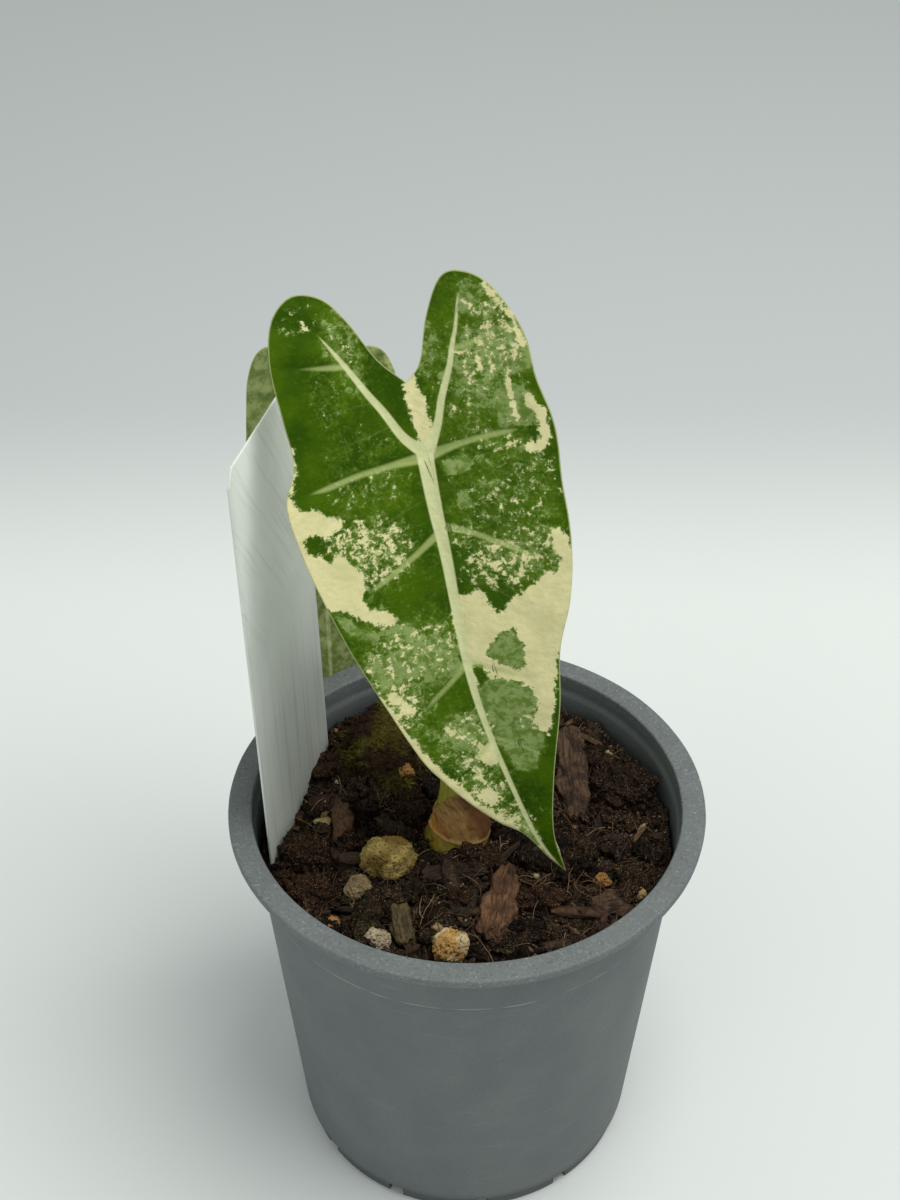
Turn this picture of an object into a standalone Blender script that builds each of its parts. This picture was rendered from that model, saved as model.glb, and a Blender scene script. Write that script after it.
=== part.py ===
"""Potted alocasia: a small two-leaved plant in a round nursery pot, with a stick-in label.

Metres, +Z up. The origin is the centre of the pot's base, on the surface that the pot stands on.
The larger leaf hangs towards -Y, and the smaller one hangs outside the pot at the back.
"""

import math

import bmesh
import bpy
from mathutils import Matrix, Vector, noise

MM = 0.001
GAP = 0.3 * MM                     # between two pieces that touch
POCKET = 0.35 * MM                 # between a buried piece and the soil around it

# The pot ----------------------------------------------------------------------------
POT_HEIGHT = 96.2 * MM
RIM_RADIUS = 52.5 * MM
LIP_THICKNESS = 2.0 * MM
LIP_WIDTH = 5.2 * MM               # the flat top of the rim
LIP_OVERHANG = 4.5 * MM            # how far the lip stands out from the shoulder below it
LIP_EDGE = 0.3 * MM                # its small bevels
SHOULDER_HEIGHT = 13.2 * MM        # the slightly wider band below the lip
SHOULDER_TAPER = 1.1 * MM
LEDGE_DEPTH = 4.2 * MM             # the bore inside the lip, down to the ledge
LEDGE_HEIGHT = 1.5 * MM
LEDGE_SPLAY = 0.6 * MM             # how far the wall opens out below the ledge
LEDGE_LIP = 0.1 * MM               # how far the ledge stands in from the bore
STEP_WIDTH = 0.6 * MM              # from the shoulder in to the body
STEP_HEIGHT = 1.0 * MM
BASE_RADIUS = 40.0 * MM
WALL = 0.9 * MM
FLOOR_THICKNESS = 1.3 * MM
FLOOR_CORNER = 1.0 * MM
FLOOR_SINK = 0.4 * MM              # the floor's underside, below the top of the foot ring
FOOT_HEIGHT = 3.4 * MM
FOOT_STEP = 0.4 * MM               # the slope from the body's foot in to the foot ring
FOOT_INSET = 1.0 * MM
FOOT_WIDTH = 2.5 * MM
FOOT_COUNT = 12
FOOT_GAP = 3.5 * MM
FOOT_FIRST_GAP = math.radians(5.0)
FOOT_CUT_MARGIN = 1.5 * MM         # how far a gap's cut runs past the foot ring, each side
FOOT_CUT_DEPTH = 0.5 * MM          # and up into the floor's underside
DRAIN_RADIUS = 3.0 * MM
DRAIN_CIRCLE = 31.0 * MM
TURN_STEPS = 48

# The soil ---------------------------------------------------------------------------
SOIL_DEPTH_BELOW_RIM = 11.9 * MM
SOIL_BACK_RISE = 2.6 * MM
SOIL_LUMP_HEIGHT = 0.7 * MM
SOIL_LUMP_SPACING = 9.0 * MM
SOIL_RINGS = 11

# The plant --------------------------------------------------------------------------
CORM_CENTRE = Vector((-2.1, 0.0)) * MM
CORM_RADIUS = 7.4 * MM
CORM_HEIGHT = 12.5 * MM            # above the soil
CORM_BURIED = 8.0 * MM
CORM_TOP_RADIUS = 4.1 * MM
SHEATH_THICKNESS = 0.5 * MM
SHEATH_CLEARANCE = 0.45 * MM
PETIOLE_SIDES = 2                  # bevel resolution

LEAF_THICKNESS = 0.8 * MM
FRONT_LEAF_LENGTH = 98.65 * MM     # from the petiole to the tip
FRONT_TIP_HEIGHT = 10.1 * MM       # above the soil
FRONT_TIP = Vector((21.2, -21.0)) * MM
FRONT_LEAF_DOWN = Vector((0.295, -0.223, -0.929)).normalized()
FRONT_LEAF_WIDTH = 53.4 * MM
FRONT_PETIOLE_BASE = Vector((-2.9, -0.9)) * MM
FRONT_PETIOLE_RADIUS = (2.9 * MM, 1.7 * MM)

BACK_LEAF_LENGTH = 89.8 * MM
BACK_LEAF_WIDTH = 36.9 * MM
BACK_ATTACHMENT_HEIGHT = 72.4 * MM # above the soil
BACK_LEAF_STANDOFF = 2.2 * MM      # from the rim's outer edge out to the blade
BACK_LEAF_ARCH = 4.0 * MM
BACK_LEAF_YAW = math.radians(15.0)
BACK_LEAF_SLOPE = math.radians(88.0)
BACK_LEAF_SIDE = -19.0 * MM        # sideways along the rim
BACK_PETIOLE_BASE = Vector((-3.2, 4.7)) * MM
BACK_PETIOLE_RADIUS = (2.1 * MM, 1.4 * MM)

# The label --------------------------------------------------------------------------
LABEL_WIDTH = 40.2 * MM
LABEL_HEIGHT = 104.5 * MM          # above the soil
LABEL_THICKNESS = 0.5 * MM
LABEL_CORNER = (2.3 * MM, 3.4 * MM)
LABEL_SHOULDER_DEPTH = 6.0 * MM    # where the buried point starts
LABEL_POINT_DEPTH = 25.0 * MM
LABEL_WALL_CLEARANCE = 1.75 * MM   # from the label's nearer edge to the pot's wall
LABEL_ANGLE = math.radians(165.2)  # where it stands, seen from above
LABEL_SHIFT = 1.7 * MM             # along its own plane, towards -Y
LABEL_LEAN = math.radians(1.2)     # outwards
PIECE_BUMPS = 0.5                  # share of its roughness allowed for beside corm and label

# A blade's outline, as (across, down) in mm for a blade of this length and width, from the
# notch between the two back lobes round each side to the tip. The petiole joins at (0, 0).
OUTLINE_LENGTH = 98.65 * MM
OUTLINE_WIDTH = 53.4 * MM
LEFT_SIDE = [
    (0.2, -13.8), (-3.7, -19.5), (-6.9, -27.9), (-10.2, -33.4), (-15.3, -35.6), (-20.1, -32.5),
    (-22.9, -25.1), (-23.8, -14.7), (-24.5, -6.0), (-28.2, 0.8), (-28.5, 9.9), (-27.6, 19.8),
    (-25.7, 32.9), (-23.0, 45.9), (-19.9, 59.9), (-17.0, 67.1), (-13.6, 74.0), (-9.7, 80.3),
    (-5.6, 85.5), (-2.7, 93.0), (-0.1, 98.65),
]
RIGHT_SIDE = [
    (-0.1, 98.65), (0.3, 87.3), (4.1, 73.1), (10.0, 56.3), (13.4, 44.0), (18.4, 33.5),
    (21.6, 22.7), (23.3, 10.6), (24.9, 0.5), (24.1, -9.0), (24.3, -16.7), (22.2, -24.3),
    (18.3, -29.9), (12.7, -31.3), (7.8, -25.4), (3.7, -16.8), (0.2, -13.8),
]
BACK_FULLNESS = 0.85               # the back leaf's narrow side, as a share of its wide side
BACK_RIGHT_SIDE = ([(-u * BACK_FULLNESS, v) for u, v in reversed(LEFT_SIDE) if v > 9.0]
                   + [(u, v) for u, v in RIGHT_SIDE if v < 5.0])
SPOKES_PER_SIDE = 27
BLADE_RINGS = 6

# Surface pieces: name, place as a share of the soil's radius, half sizes in mm, how far the
# centre stands above the soil in mm, turn about Z in degrees, and squareness (0 is an ellipsoid).
STONES = [
    ("pumice_1", (-0.385, -0.197), (6.4, 5.0, 4.6), 2.2, 20, 0.15),
    ("pumice_2", (-0.523, -0.379), (3.3, 3.1, 3.0), 1.3, 0, 0.0),
    ("pumice_3", (-0.072, -0.757), (4.8, 4.2, 4.2), 1.9, 10, 0.1),
    ("pumice_4", (-0.414, -0.709), (3.3, 3.0, 3.0), 1.4, 0, 0.0),
    ("pumice_5", (-0.709, 0.048), (2.3, 2.1, 2.0), 1.0, 0, 0.0),
    ("pumice_7", (0.646, -0.326), (2.1, 1.9, 1.9), 1.0, 0, 0.0),
    ("pumice_8", (0.816, -0.403), (1.6, 1.6, 1.5), 0.8, 0, 0.0),
    ("pumice_9", (0.729, 0.525), (1.2, 1.1, 1.1), 0.6, 0, 0.0),
    ("pumice_10", (-0.635, -0.613), (2.5, 2.3, 2.2), 0.9, 0, 0.0),
    ("pumice_11", (-0.138, -0.626), (1.5, 1.4, 1.4), 0.7, 0, 0.0),
    ("pumice_12", (0.449, -0.055), (2.1, 1.9, 1.9), 0.8, 0, 0.0),
]
LUMPS = [
    ("peat_lump_left", (-0.781, -0.168), (5.0, 4.8, 4.2), 1.8, 0, 0.1),
    ("peat_lump_front", (-0.735, -0.411), (5.8, 4.3, 3.6), 0.9, -30, 0.0),
    ("peat_lump_right", (0.783, 0.252), (6.4, 5.9, 5.0), 2.6, 0, 0.1),
    ("peat_lump_middle", (-0.268, 0.154), (3.8, 4.5, 3.6), 1.6, 30, 0.1),
]
CHIPS = [
    ("bark_1", (0.158, -0.455), (10.5, 3.4, 1.7), 1.0, -103, 0.5),
    ("bark_2", (0.536, 0.372), (12.0, 3.2, 1.8), 2.6, 94, 0.5),
    ("bark_3", (0.678, -0.470), (3.9, 3.0, 0.9), 0.6, 15, 0.6),
    ("bark_4", (-0.056, -0.265), (7.5, 2.2, 1.6), 0.4, 12, 0.4),
    ("bark_5", (-0.319, -0.560), (7.0, 2.4, 1.5), 0.7, -75, 0.4),
]
CHIP_TILT = {"bark_2": math.radians(14.0)}   # the far end up
MOSS = ("moss_cushion", (-0.416, 0.569), (10.5, 13.6, 6.0), 0.0, 0, 0.0)
MOSS_STONE = ("pumice_6", (-0.300, 0.350), (2.3, 2.1, 2.1), 3.6, 0, 0.0)

# Worked out from the values above
LIP_BOTTOM = POT_HEIGHT - LIP_THICKNESS
BORE_RADIUS = RIM_RADIUS - LIP_WIDTH
SHOULDER_RADIUS = RIM_RADIUS - LIP_OVERHANG
SHOULDER_FOOT_RADIUS = SHOULDER_RADIUS - SHOULDER_TAPER
SHOULDER_FOOT = LIP_BOTTOM - SHOULDER_HEIGHT
BODY_RADIUS = SHOULDER_FOOT_RADIUS - STEP_WIDTH
BODY_TOP = SHOULDER_FOOT - STEP_HEIGHT
FLOOR_BOTTOM = FOOT_HEIGHT - FLOOR_SINK
FLOOR_TOP = FLOOR_BOTTOM + FLOOR_THICKNESS
SOIL_TOP = POT_HEIGHT - SOIL_DEPTH_BELOW_RIM
WALL_RADIUS = SHOULDER_FOOT_RADIUS - WALL
SOIL_RADIUS = WALL_RADIUS - GAP
LABEL_OUTWARDS = Vector((math.cos(LABEL_ANGLE), math.sin(LABEL_ANGLE)))
LABEL_DISTANCE = math.sqrt((WALL_RADIUS - LABEL_WALL_CLEARANCE) ** 2
                           - (LABEL_WIDTH / 2 + LABEL_SHIFT) ** 2)


# Helpers ----------------------------------------------------------------------------

def new_collection(name):
    collection = bpy.data.collections.new(name)
    bpy.context.scene.collection.children.link(collection)
    return collection


def new_material(name, colour, roughness):
    material = bpy.data.materials.new(name)
    material.use_nodes = True
    shader = material.node_tree.nodes["Principled BSDF"]
    shader.inputs["Base Color"].default_value = (*colour, 1.0)
    shader.inputs["Roughness"].default_value = roughness
    return material


def add_object(name, data, material=None, collection=None):
    piece = bpy.data.objects.new(name, data)
    (collection or PARTS).objects.link(piece)
    if material:
        data.materials.append(material)
    return piece


def mesh_from_bmesh(name, shape):
    mesh = bpy.data.meshes.new(name)
    shape.to_mesh(mesh)
    shape.free()
    return mesh


def applied_mesh(piece):
    """The piece's mesh in world space with its modifiers applied, and its caps welded."""
    bpy.context.view_layer.update()
    evaluated = piece.evaluated_get(bpy.context.evaluated_depsgraph_get())
    mesh = bpy.data.meshes.new_from_object(evaluated)
    shape = bmesh.new()
    shape.from_mesh(mesh)
    bmesh.ops.remove_doubles(shape, verts=shape.verts, dist=0.001 * MM)
    shape.transform(piece.matrix_world)
    shape.to_mesh(mesh)
    shape.free()
    return mesh


def replace_by_mesh(piece):
    """Swap a curve or a modified object for a plain mesh object of the same shape."""
    mesh = applied_mesh(piece)
    name, collection = piece.name, piece.users_collection[0]
    bpy.data.objects.remove(piece)
    piece = bpy.data.objects.new(name, mesh)
    collection.objects.link(piece)
    return piece


def shade_smooth(piece, angle=math.radians(40.0)):
    piece.data.shade_smooth()
    piece.data.set_sharp_from_angle(angle=angle)


def turned(name, profile, material):
    """A profile of (radius, z) points turned about Z. It runs down its outer side."""
    mesh = bpy.data.meshes.new(name)
    points = [(radius, 0.0, z) for radius, z in profile]
    edges = [(i, i + 1) for i in range(len(points) - 1)]
    mesh.from_pydata(points, edges, [])
    piece = add_object(name, mesh, material)
    screw = piece.modifiers.new("Turn", "SCREW")
    screw.steps = screw.render_steps = TURN_STEPS
    screw.use_merge_vertices = True
    screw.merge_threshold = 0.001 * MM
    return piece


def cut(piece, cutter):
    cutter.hide_render = True
    cutter.display_type = "WIRE"
    boolean = piece.modifiers.new("Cut " + cutter.name, "BOOLEAN")
    boolean.operation = "DIFFERENCE"
    boolean.solver = "EXACT"
    boolean.object = cutter


def swollen_copy(piece, margin):
    """A cutter: the piece's shape, larger by the margin all over."""
    mesh = applied_mesh(piece)
    shape = bmesh.new()
    shape.from_mesh(mesh)
    shape.normal_update()
    moves = [(v, v.normal * margin * v.calc_shell_factor()) for v in shape.verts]
    for vertex, move in moves:
        vertex.co += move
    shape.to_mesh(mesh)
    shape.free()
    return add_object(piece.name + "_pocket", mesh, collection=CUTTERS)


def smooth_run(points, per_span=8):
    """A Catmull-Rom curve through the points, which may have any number of coordinates."""
    ends = [[2 * a - b for a, b in zip(points[0], points[1])],
            [2 * a - b for a, b in zip(points[-1], points[-2])]]
    padded = [ends[0], *points, ends[1]]
    run = []
    for i in range(1, len(padded) - 2):
        for step in range(per_span):
            t = step / per_span
            run.append(tuple(
                0.5 * (2 * b + (c - a) * t + (2 * a - 5 * b + 4 * c - d) * t ** 2
                       + (3 * b - a - 3 * c + d) * t ** 3)
                for a, b, c, d in zip(*padded[i - 1:i + 3])))
    run.append(tuple(points[-1]))
    return run


def evenly_spaced(run, count):
    """count points at equal distances along the run, its last point left out."""
    lengths = [0.0]
    for a, b in zip(run, run[1:]):
        lengths.append(lengths[-1] + math.dist(a, b))
    spaced, i = [], 0
    for step in range(count):
        target = lengths[-1] * step / count
        while lengths[i + 1] < target:
            i += 1
        t = (target - lengths[i]) / (lengths[i + 1] - lengths[i])
        spaced.append(tuple(a + (b - a) * t for a, b in zip(run[i], run[i + 1])))
    return spaced


def soil_level(x, y):
    """The height of the soil's surface: it rises towards the back, and is lumpy."""
    back = min(1.0, max(0.0, y / SOIL_RADIUS))
    rise = SOIL_BACK_RISE * back * back * (3.0 - 2.0 * back)
    lumps = SOIL_LUMP_HEIGHT * noise.noise(Vector((x, y, 0.0)) / SOIL_LUMP_SPACING)
    return SOIL_TOP + rise + lumps


# The pot and the soil -----------------------------------------------------------------

def inner_wall():
    """(radius, z) points up the pot's inside, from the middle of the floor to the shoulder."""
    foot_radius = BASE_RADIUS - WALL
    return [
        (0.0, FLOOR_TOP),
        (foot_radius - FLOOR_CORNER, FLOOR_TOP),
        (foot_radius, FLOOR_TOP + FLOOR_CORNER),
        (BODY_RADIUS - WALL, BODY_TOP + WALL / 2),
        (WALL_RADIUS, SHOULDER_FOOT + WALL / 2),
    ]


def make_pot(material):
    ledge = POT_HEIGHT - LEDGE_DEPTH
    foot_radius = BASE_RADIUS - FOOT_INSET
    profile = inner_wall() + [
        (WALL_RADIUS + LEDGE_SPLAY, ledge - LEDGE_HEIGHT),
        (BORE_RADIUS - LEDGE_LIP, ledge),
        (BORE_RADIUS, POT_HEIGHT - LIP_EDGE),
        (BORE_RADIUS + LIP_EDGE, POT_HEIGHT),
        (RIM_RADIUS - LIP_EDGE, POT_HEIGHT),
        (RIM_RADIUS, POT_HEIGHT - LIP_EDGE),
        (RIM_RADIUS, LIP_BOTTOM + LIP_EDGE),
        (RIM_RADIUS - LIP_EDGE, LIP_BOTTOM),
        (SHOULDER_RADIUS, LIP_BOTTOM),
        (SHOULDER_FOOT_RADIUS, SHOULDER_FOOT),
        (BODY_RADIUS, BODY_TOP),
        (BASE_RADIUS, FOOT_HEIGHT + FOOT_STEP),
        (foot_radius, FOOT_HEIGHT),
        (foot_radius, 0.0),
        (foot_radius - FOOT_WIDTH, 0.0),
        (foot_radius - FOOT_WIDTH, FLOOR_BOTTOM),
        (0.0, FLOOR_BOTTOM),
    ]
    pot = turned("pot", profile, material)

    # Gaps between the feet, cut a little into the underside, and a drain at every other one
    for i in range(FOOT_COUNT):
        angle = FOOT_FIRST_GAP + i * math.tau / FOOT_COUNT
        turn = Matrix.Rotation(angle, 4, "Z")
        shape = bmesh.new()
        bmesh.ops.create_cube(shape, size=1.0)
        size = Matrix.Diagonal((FOOT_WIDTH + 2 * FOOT_CUT_MARGIN, FOOT_GAP,
                                2 * (FLOOR_BOTTOM + FOOT_CUT_DEPTH), 1.0))
        place = Matrix.Translation((foot_radius - FOOT_WIDTH / 2, 0.0, 0.0))
        shape.transform(turn @ place @ size)
        cut(pot, add_object(f"foot_gap_{i}", mesh_from_bmesh("gap", shape), collection=CUTTERS))
        if i % 2:
            continue
        shape = bmesh.new()
        bmesh.ops.create_cone(shape, cap_ends=True, segments=16, depth=4 * FLOOR_TOP,
                              radius1=DRAIN_RADIUS, radius2=DRAIN_RADIUS)
        shape.transform(turn @ Matrix.Translation((DRAIN_CIRCLE, 0.0, 0.0)))
        cut(pot, add_object(f"drain_{i}", mesh_from_bmesh("drain", shape), collection=CUTTERS))
    return pot


def make_soil(material):
    """A turned body that fills the pot, with a lumpy top."""
    top = [(SOIL_RADIUS * i / SOIL_RINGS, SOIL_TOP) for i in range(SOIL_RINGS + 1)]
    side = [(max(0.0, radius - GAP), z + GAP) for radius, z in inner_wall()]
    side[0] = (0.0, FLOOR_TOP + GAP)
    soil = replace_by_mesh(turned("soil", top + side[::-1], material))
    for vertex in soil.data.vertices:
        if vertex.co.z > SOIL_TOP - 0.01 * MM:
            vertex.co.z = soil_level(vertex.co.x, vertex.co.y)
    return soil


# Pieces on the soil -------------------------------------------------------------------

def clear_place(share, half_sizes, turn, roughness):
    """A place on the soil, moved off the corm and in from the label if it would meet them."""
    place = Vector(share) * SOIL_RADIUS

    def reach(direction):
        angle = math.atan2(direction.y, direction.x) - math.radians(turn)
        size = math.hypot(half_sizes[0] * math.cos(angle), half_sizes[1] * math.sin(angle))
        return size * MM * (1.0 + PIECE_BUMPS * roughness)

    away = (place - CORM_CENTRE).normalized()
    corm_gap = (place - CORM_CENTRE).length - CORM_RADIUS - reach(away)
    place -= away * min(0.0, corm_gap)
    label_face = (LABEL_DISTANCE - LABEL_THICKNESS / 2
                  - half_sizes[2] * MM * math.sin(LABEL_LEAN))
    label_gap = label_face - place.dot(LABEL_OUTWARDS) - reach(LABEL_OUTWARDS)
    return place + LABEL_OUTWARDS * min(0.0, label_gap)


def rounded_piece(entry, material, seed, roughness=0.10, detail=2, tilt=0.0):
    """A stone, chip or lump: a bumpy ellipsoid, squared off by its squareness."""
    name, share, half_sizes, lift, turn, squareness = entry
    shape = bmesh.new()
    bmesh.ops.create_icosphere(shape, subdivisions=detail, radius=1.0)
    power = 1.0 - squareness
    for vertex in shape.verts:
        direction = vertex.co.copy()
        bump = 1.0 + roughness * noise.noise(direction * 1.7 + Vector((seed * 7.3, seed, 0.0)))
        for axis in range(3):
            size = abs(direction[axis]) ** power
            vertex.co[axis] = math.copysign(size, direction[axis]) * half_sizes[axis] * MM * bump
    x, y = clear_place(share, half_sizes, turn, roughness)
    place = Matrix.Translation((x, y, soil_level(x, y) + lift * MM))
    turned_by = Matrix.Rotation(math.radians(turn), 4, "Z") @ Matrix.Rotation(-tilt, 4, "Y")
    shape.transform(place @ turned_by)
    piece = add_object(name, mesh_from_bmesh(name, shape), material)
    shade_smooth(piece)
    return piece


# The plant ----------------------------------------------------------------------------

def corm_radius(height):
    """The corm's radius at a height above the soil."""
    if height < 0.0:
        return CORM_RADIUS * math.sqrt(max(0.0, 1.0 - (height / CORM_BURIED) ** 2))
    share = min(1.0, height / CORM_HEIGHT)
    return CORM_RADIUS + (CORM_TOP_RADIUS - CORM_RADIUS) * share ** 0.85


def make_corm(material, ground):
    heights = [CORM_HEIGHT * i / 5 for i in range(5, 0, -1)]
    heights += [-CORM_BURIED * math.sin(math.radians(a)) for a in (0, 25, 50, 72)]
    profile = [(0.0, CORM_HEIGHT)] + [(corm_radius(h), h) for h in heights]
    profile.append((0.0, -CORM_BURIED))
    corm = turned("corm", profile, material)
    corm.modifiers["Turn"].steps = corm.modifiers["Turn"].render_steps = 20
    corm.location = (*CORM_CENTRE, ground)
    return corm


def make_sheath(material, ground):
    """The dry papery scale round the front of the corm, higher in its middle."""
    across, up = 12, 4
    start, end = math.radians(-165.0), math.radians(25.0)
    shape = bmesh.new()
    rows = []
    for j in range(up + 1):
        row = []
        for i in range(across + 1):
            share = i / across
            low = (6.4 - 5.6 * share) * MM
            high = (9.6 + 7.0 * math.sin(math.pi * share ** 0.9)) * MM
            height = low + (high - low) * j / up
            radius = corm_radius(height) + SHEATH_CLEARANCE
            angle = start + (end - start) * share
            row.append(shape.verts.new((radius * math.cos(angle), radius * math.sin(angle),
                                        height)))
        rows.append(row)
    for lower, upper in zip(rows, rows[1:]):
        for i in range(across):
            shape.faces.new((lower[i], lower[i + 1], upper[i + 1], upper[i]))
    mesh = bpy.data.meshes.new("corm_sheath")
    shape.to_mesh(mesh)
    shape.free()
    sheath = add_object("corm_sheath", mesh, material)
    sheath.location = (*CORM_CENTRE, ground)
    solidify = sheath.modifiers.new("Thickness", "SOLIDIFY")
    solidify.thickness = SHEATH_THICKNESS
    solidify.offset = 1.0
    return sheath


class Blade:
    """A leaf blade's surface, in 3-D: across and down run over it from the petiole."""

    def __init__(self, attachment, down, normal, length, width, sides, arch, bow, fold,
                 mirrored):
        self.attachment = attachment
        self.down = down.normalized()
        self.normal = (normal - self.down * normal.dot(self.down)).normalized()
        self.across = self.normal.cross(self.down)
        self.length = length
        self.down_scale = length / OUTLINE_LENGTH
        self.across_scale = width / OUTLINE_WIDTH * (-1.0 if mirrored else 1.0)
        self.sides = sides
        self.arch = arch
        self.bow = bow
        self.fold = fold

    def midrib(self, share):
        """How far the midrib runs to one side at a share of the blade's length."""
        if share > 0.0:
            return self.bow * 4.0 * share * (1.0 - share)
        return self.bow * 1.4 * share

    def point(self, across, down):
        share = down / self.length
        lift = self.arch * 4.0 * share * (1.0 - share) * (0.55 if share < 0.0 else 1.0)
        crease = 3.0 * MM
        off = across - self.midrib(share)
        lift += self.fold * (math.hypot(off, crease) - crease)
        return (self.attachment + self.across * across + self.down * down
                + self.normal * lift)

    def outline(self):
        """(across, down) points at equal distances, round the whole edge."""
        edge = []
        for side in self.sides:
            edge += evenly_spaced(smooth_run(side), SPOKES_PER_SIDE)
        return [(u * MM * self.across_scale, v * MM * self.down_scale) for u, v in edge]


def make_blade(name, blade, material):
    """A polar mesh about the petiole's end, thickened away from the upper side."""
    outline = blade.outline()
    shape = bmesh.new()
    centre = shape.verts.new(blade.point(0.0, 0.0))
    rings = []
    for j in range(1, BLADE_RINGS + 1):
        share = (j / BLADE_RINGS) ** 0.9
        rings.append([shape.verts.new(blade.point(u * share, v * share)) for u, v in outline])
    count = len(outline)
    for i in range(count):
        shape.faces.new((centre, rings[0][i], rings[0][(i + 1) % count]))
        for inner, outer in zip(rings, rings[1:]):
            shape.faces.new((inner[i], outer[i], outer[(i + 1) % count], inner[(i + 1) % count]))
    shape.normal_update()
    if sum((face.normal for face in shape.faces), Vector()).dot(blade.normal) < 0.0:
        bmesh.ops.reverse_faces(shape, faces=shape.faces)
    mesh = bpy.data.meshes.new(name)
    shape.to_mesh(mesh)
    shape.free()
    piece = add_object(name, mesh, material)
    piece.data.shade_smooth()
    solidify = piece.modifiers.new("Thickness", "SOLIDIFY")
    solidify.thickness = LEAF_THICKNESS
    solidify.offset = -1.0
    return piece


def make_petiole(name, route, radii, material):
    """A tapering stalk along a smooth curve through the route's points."""
    run = smooth_run([tuple(point) for point in route], per_span=3)
    curve = bpy.data.curves.new(name, "CURVE")
    curve.dimensions = "3D"
    curve.bevel_depth = radii[0]
    curve.bevel_resolution = PETIOLE_SIDES
    curve.use_fill_caps = True
    spline = curve.splines.new("POLY")
    spline.points.add(len(run) - 1)
    for i, point in enumerate(run):
        share = i / (len(run) - 1)
        spline.points[i].co = (*point, 1.0)
        spline.points[i].radius = 1.0 + (radii[1] / radii[0] - 1.0) * share ** 0.7
    return add_object(name, curve, material)


def front_blade():
    tip = Vector((*FRONT_TIP, SOIL_TOP + FRONT_TIP_HEIGHT))
    attachment = tip - FRONT_LEAF_DOWN * FRONT_LEAF_LENGTH
    return Blade(attachment, FRONT_LEAF_DOWN, Vector((0.0, -0.972, 0.233)), FRONT_LEAF_LENGTH,
                 FRONT_LEAF_WIDTH, (LEFT_SIDE, RIGHT_SIDE), arch=5.0 * MM, bow=-5.6 * MM,
                 fold=0.2, mirrored=False)


def back_blade():
    """The blade hangs just outside the rim, with its upper side facing away."""
    outwards = Vector((-math.sin(BACK_LEAF_YAW), math.cos(BACK_LEAF_YAW), 0.0))
    sideways = Vector((outwards.y, -outwards.x, 0.0))
    attachment = (outwards * (RIM_RADIUS + BACK_LEAF_STANDOFF - BACK_LEAF_ARCH)
                  + sideways * BACK_LEAF_SIDE
                  + Vector((0.0, 0.0, SOIL_TOP + BACK_ATTACHMENT_HEIGHT)))
    down = outwards * math.cos(BACK_LEAF_SLOPE) - Vector((0, 0, 1)) * math.sin(BACK_LEAF_SLOPE)
    return Blade(attachment, down, outwards, BACK_LEAF_LENGTH, BACK_LEAF_WIDTH,
                 (LEFT_SIDE, BACK_RIGHT_SIDE), arch=BACK_LEAF_ARCH, bow=0.0, fold=0.04,
                 mirrored=True)


def petiole_end(blade, radius):
    """Where a petiole stops, clear of the blade's lower side."""
    return blade.point(0.0, 0.0) - blade.normal * (LEAF_THICKNESS + GAP + radius)


# The label ----------------------------------------------------------------------------

def make_label(material):
    """A flat outline in the label's own plane, stood up inside the wall."""
    half = LABEL_WIDTH / 2
    corner_width, corner_height = LABEL_CORNER
    right_half = [
        (0.0, -LABEL_POINT_DEPTH), (half, -LABEL_SHOULDER_DEPTH),
        (half, LABEL_HEIGHT - corner_height), (half - corner_width, LABEL_HEIGHT),
    ]
    points = right_half + [(-x, z) for x, z in right_half[:0:-1]]
    curve = bpy.data.curves.new("plant_label", "CURVE")
    curve.dimensions = "2D"
    curve.fill_mode = "BOTH"
    curve.extrude = LABEL_THICKNESS / 2
    spline = curve.splines.new("POLY")
    spline.points.add(len(points) - 1)
    for i, point in enumerate(points):
        spline.points[i].co = (*point, 0.0, 1.0)
    spline.use_cyclic_u = True
    label = add_object("plant_label", curve, material)
    place = Matrix.Rotation(LABEL_ANGLE, 4, "Z") @ Matrix.Translation(
        (LABEL_DISTANCE, LABEL_SHIFT, SOIL_TOP))
    lean = Matrix.Rotation(LABEL_LEAN, 4, "Y")
    stand = Matrix.Rotation(math.radians(90.0), 4, "Z") @ Matrix.Rotation(
        math.radians(90.0), 4, "X")
    label.matrix_world = place @ lean @ stand
    return replace_by_mesh(label)


# Build --------------------------------------------------------------------------------

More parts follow.
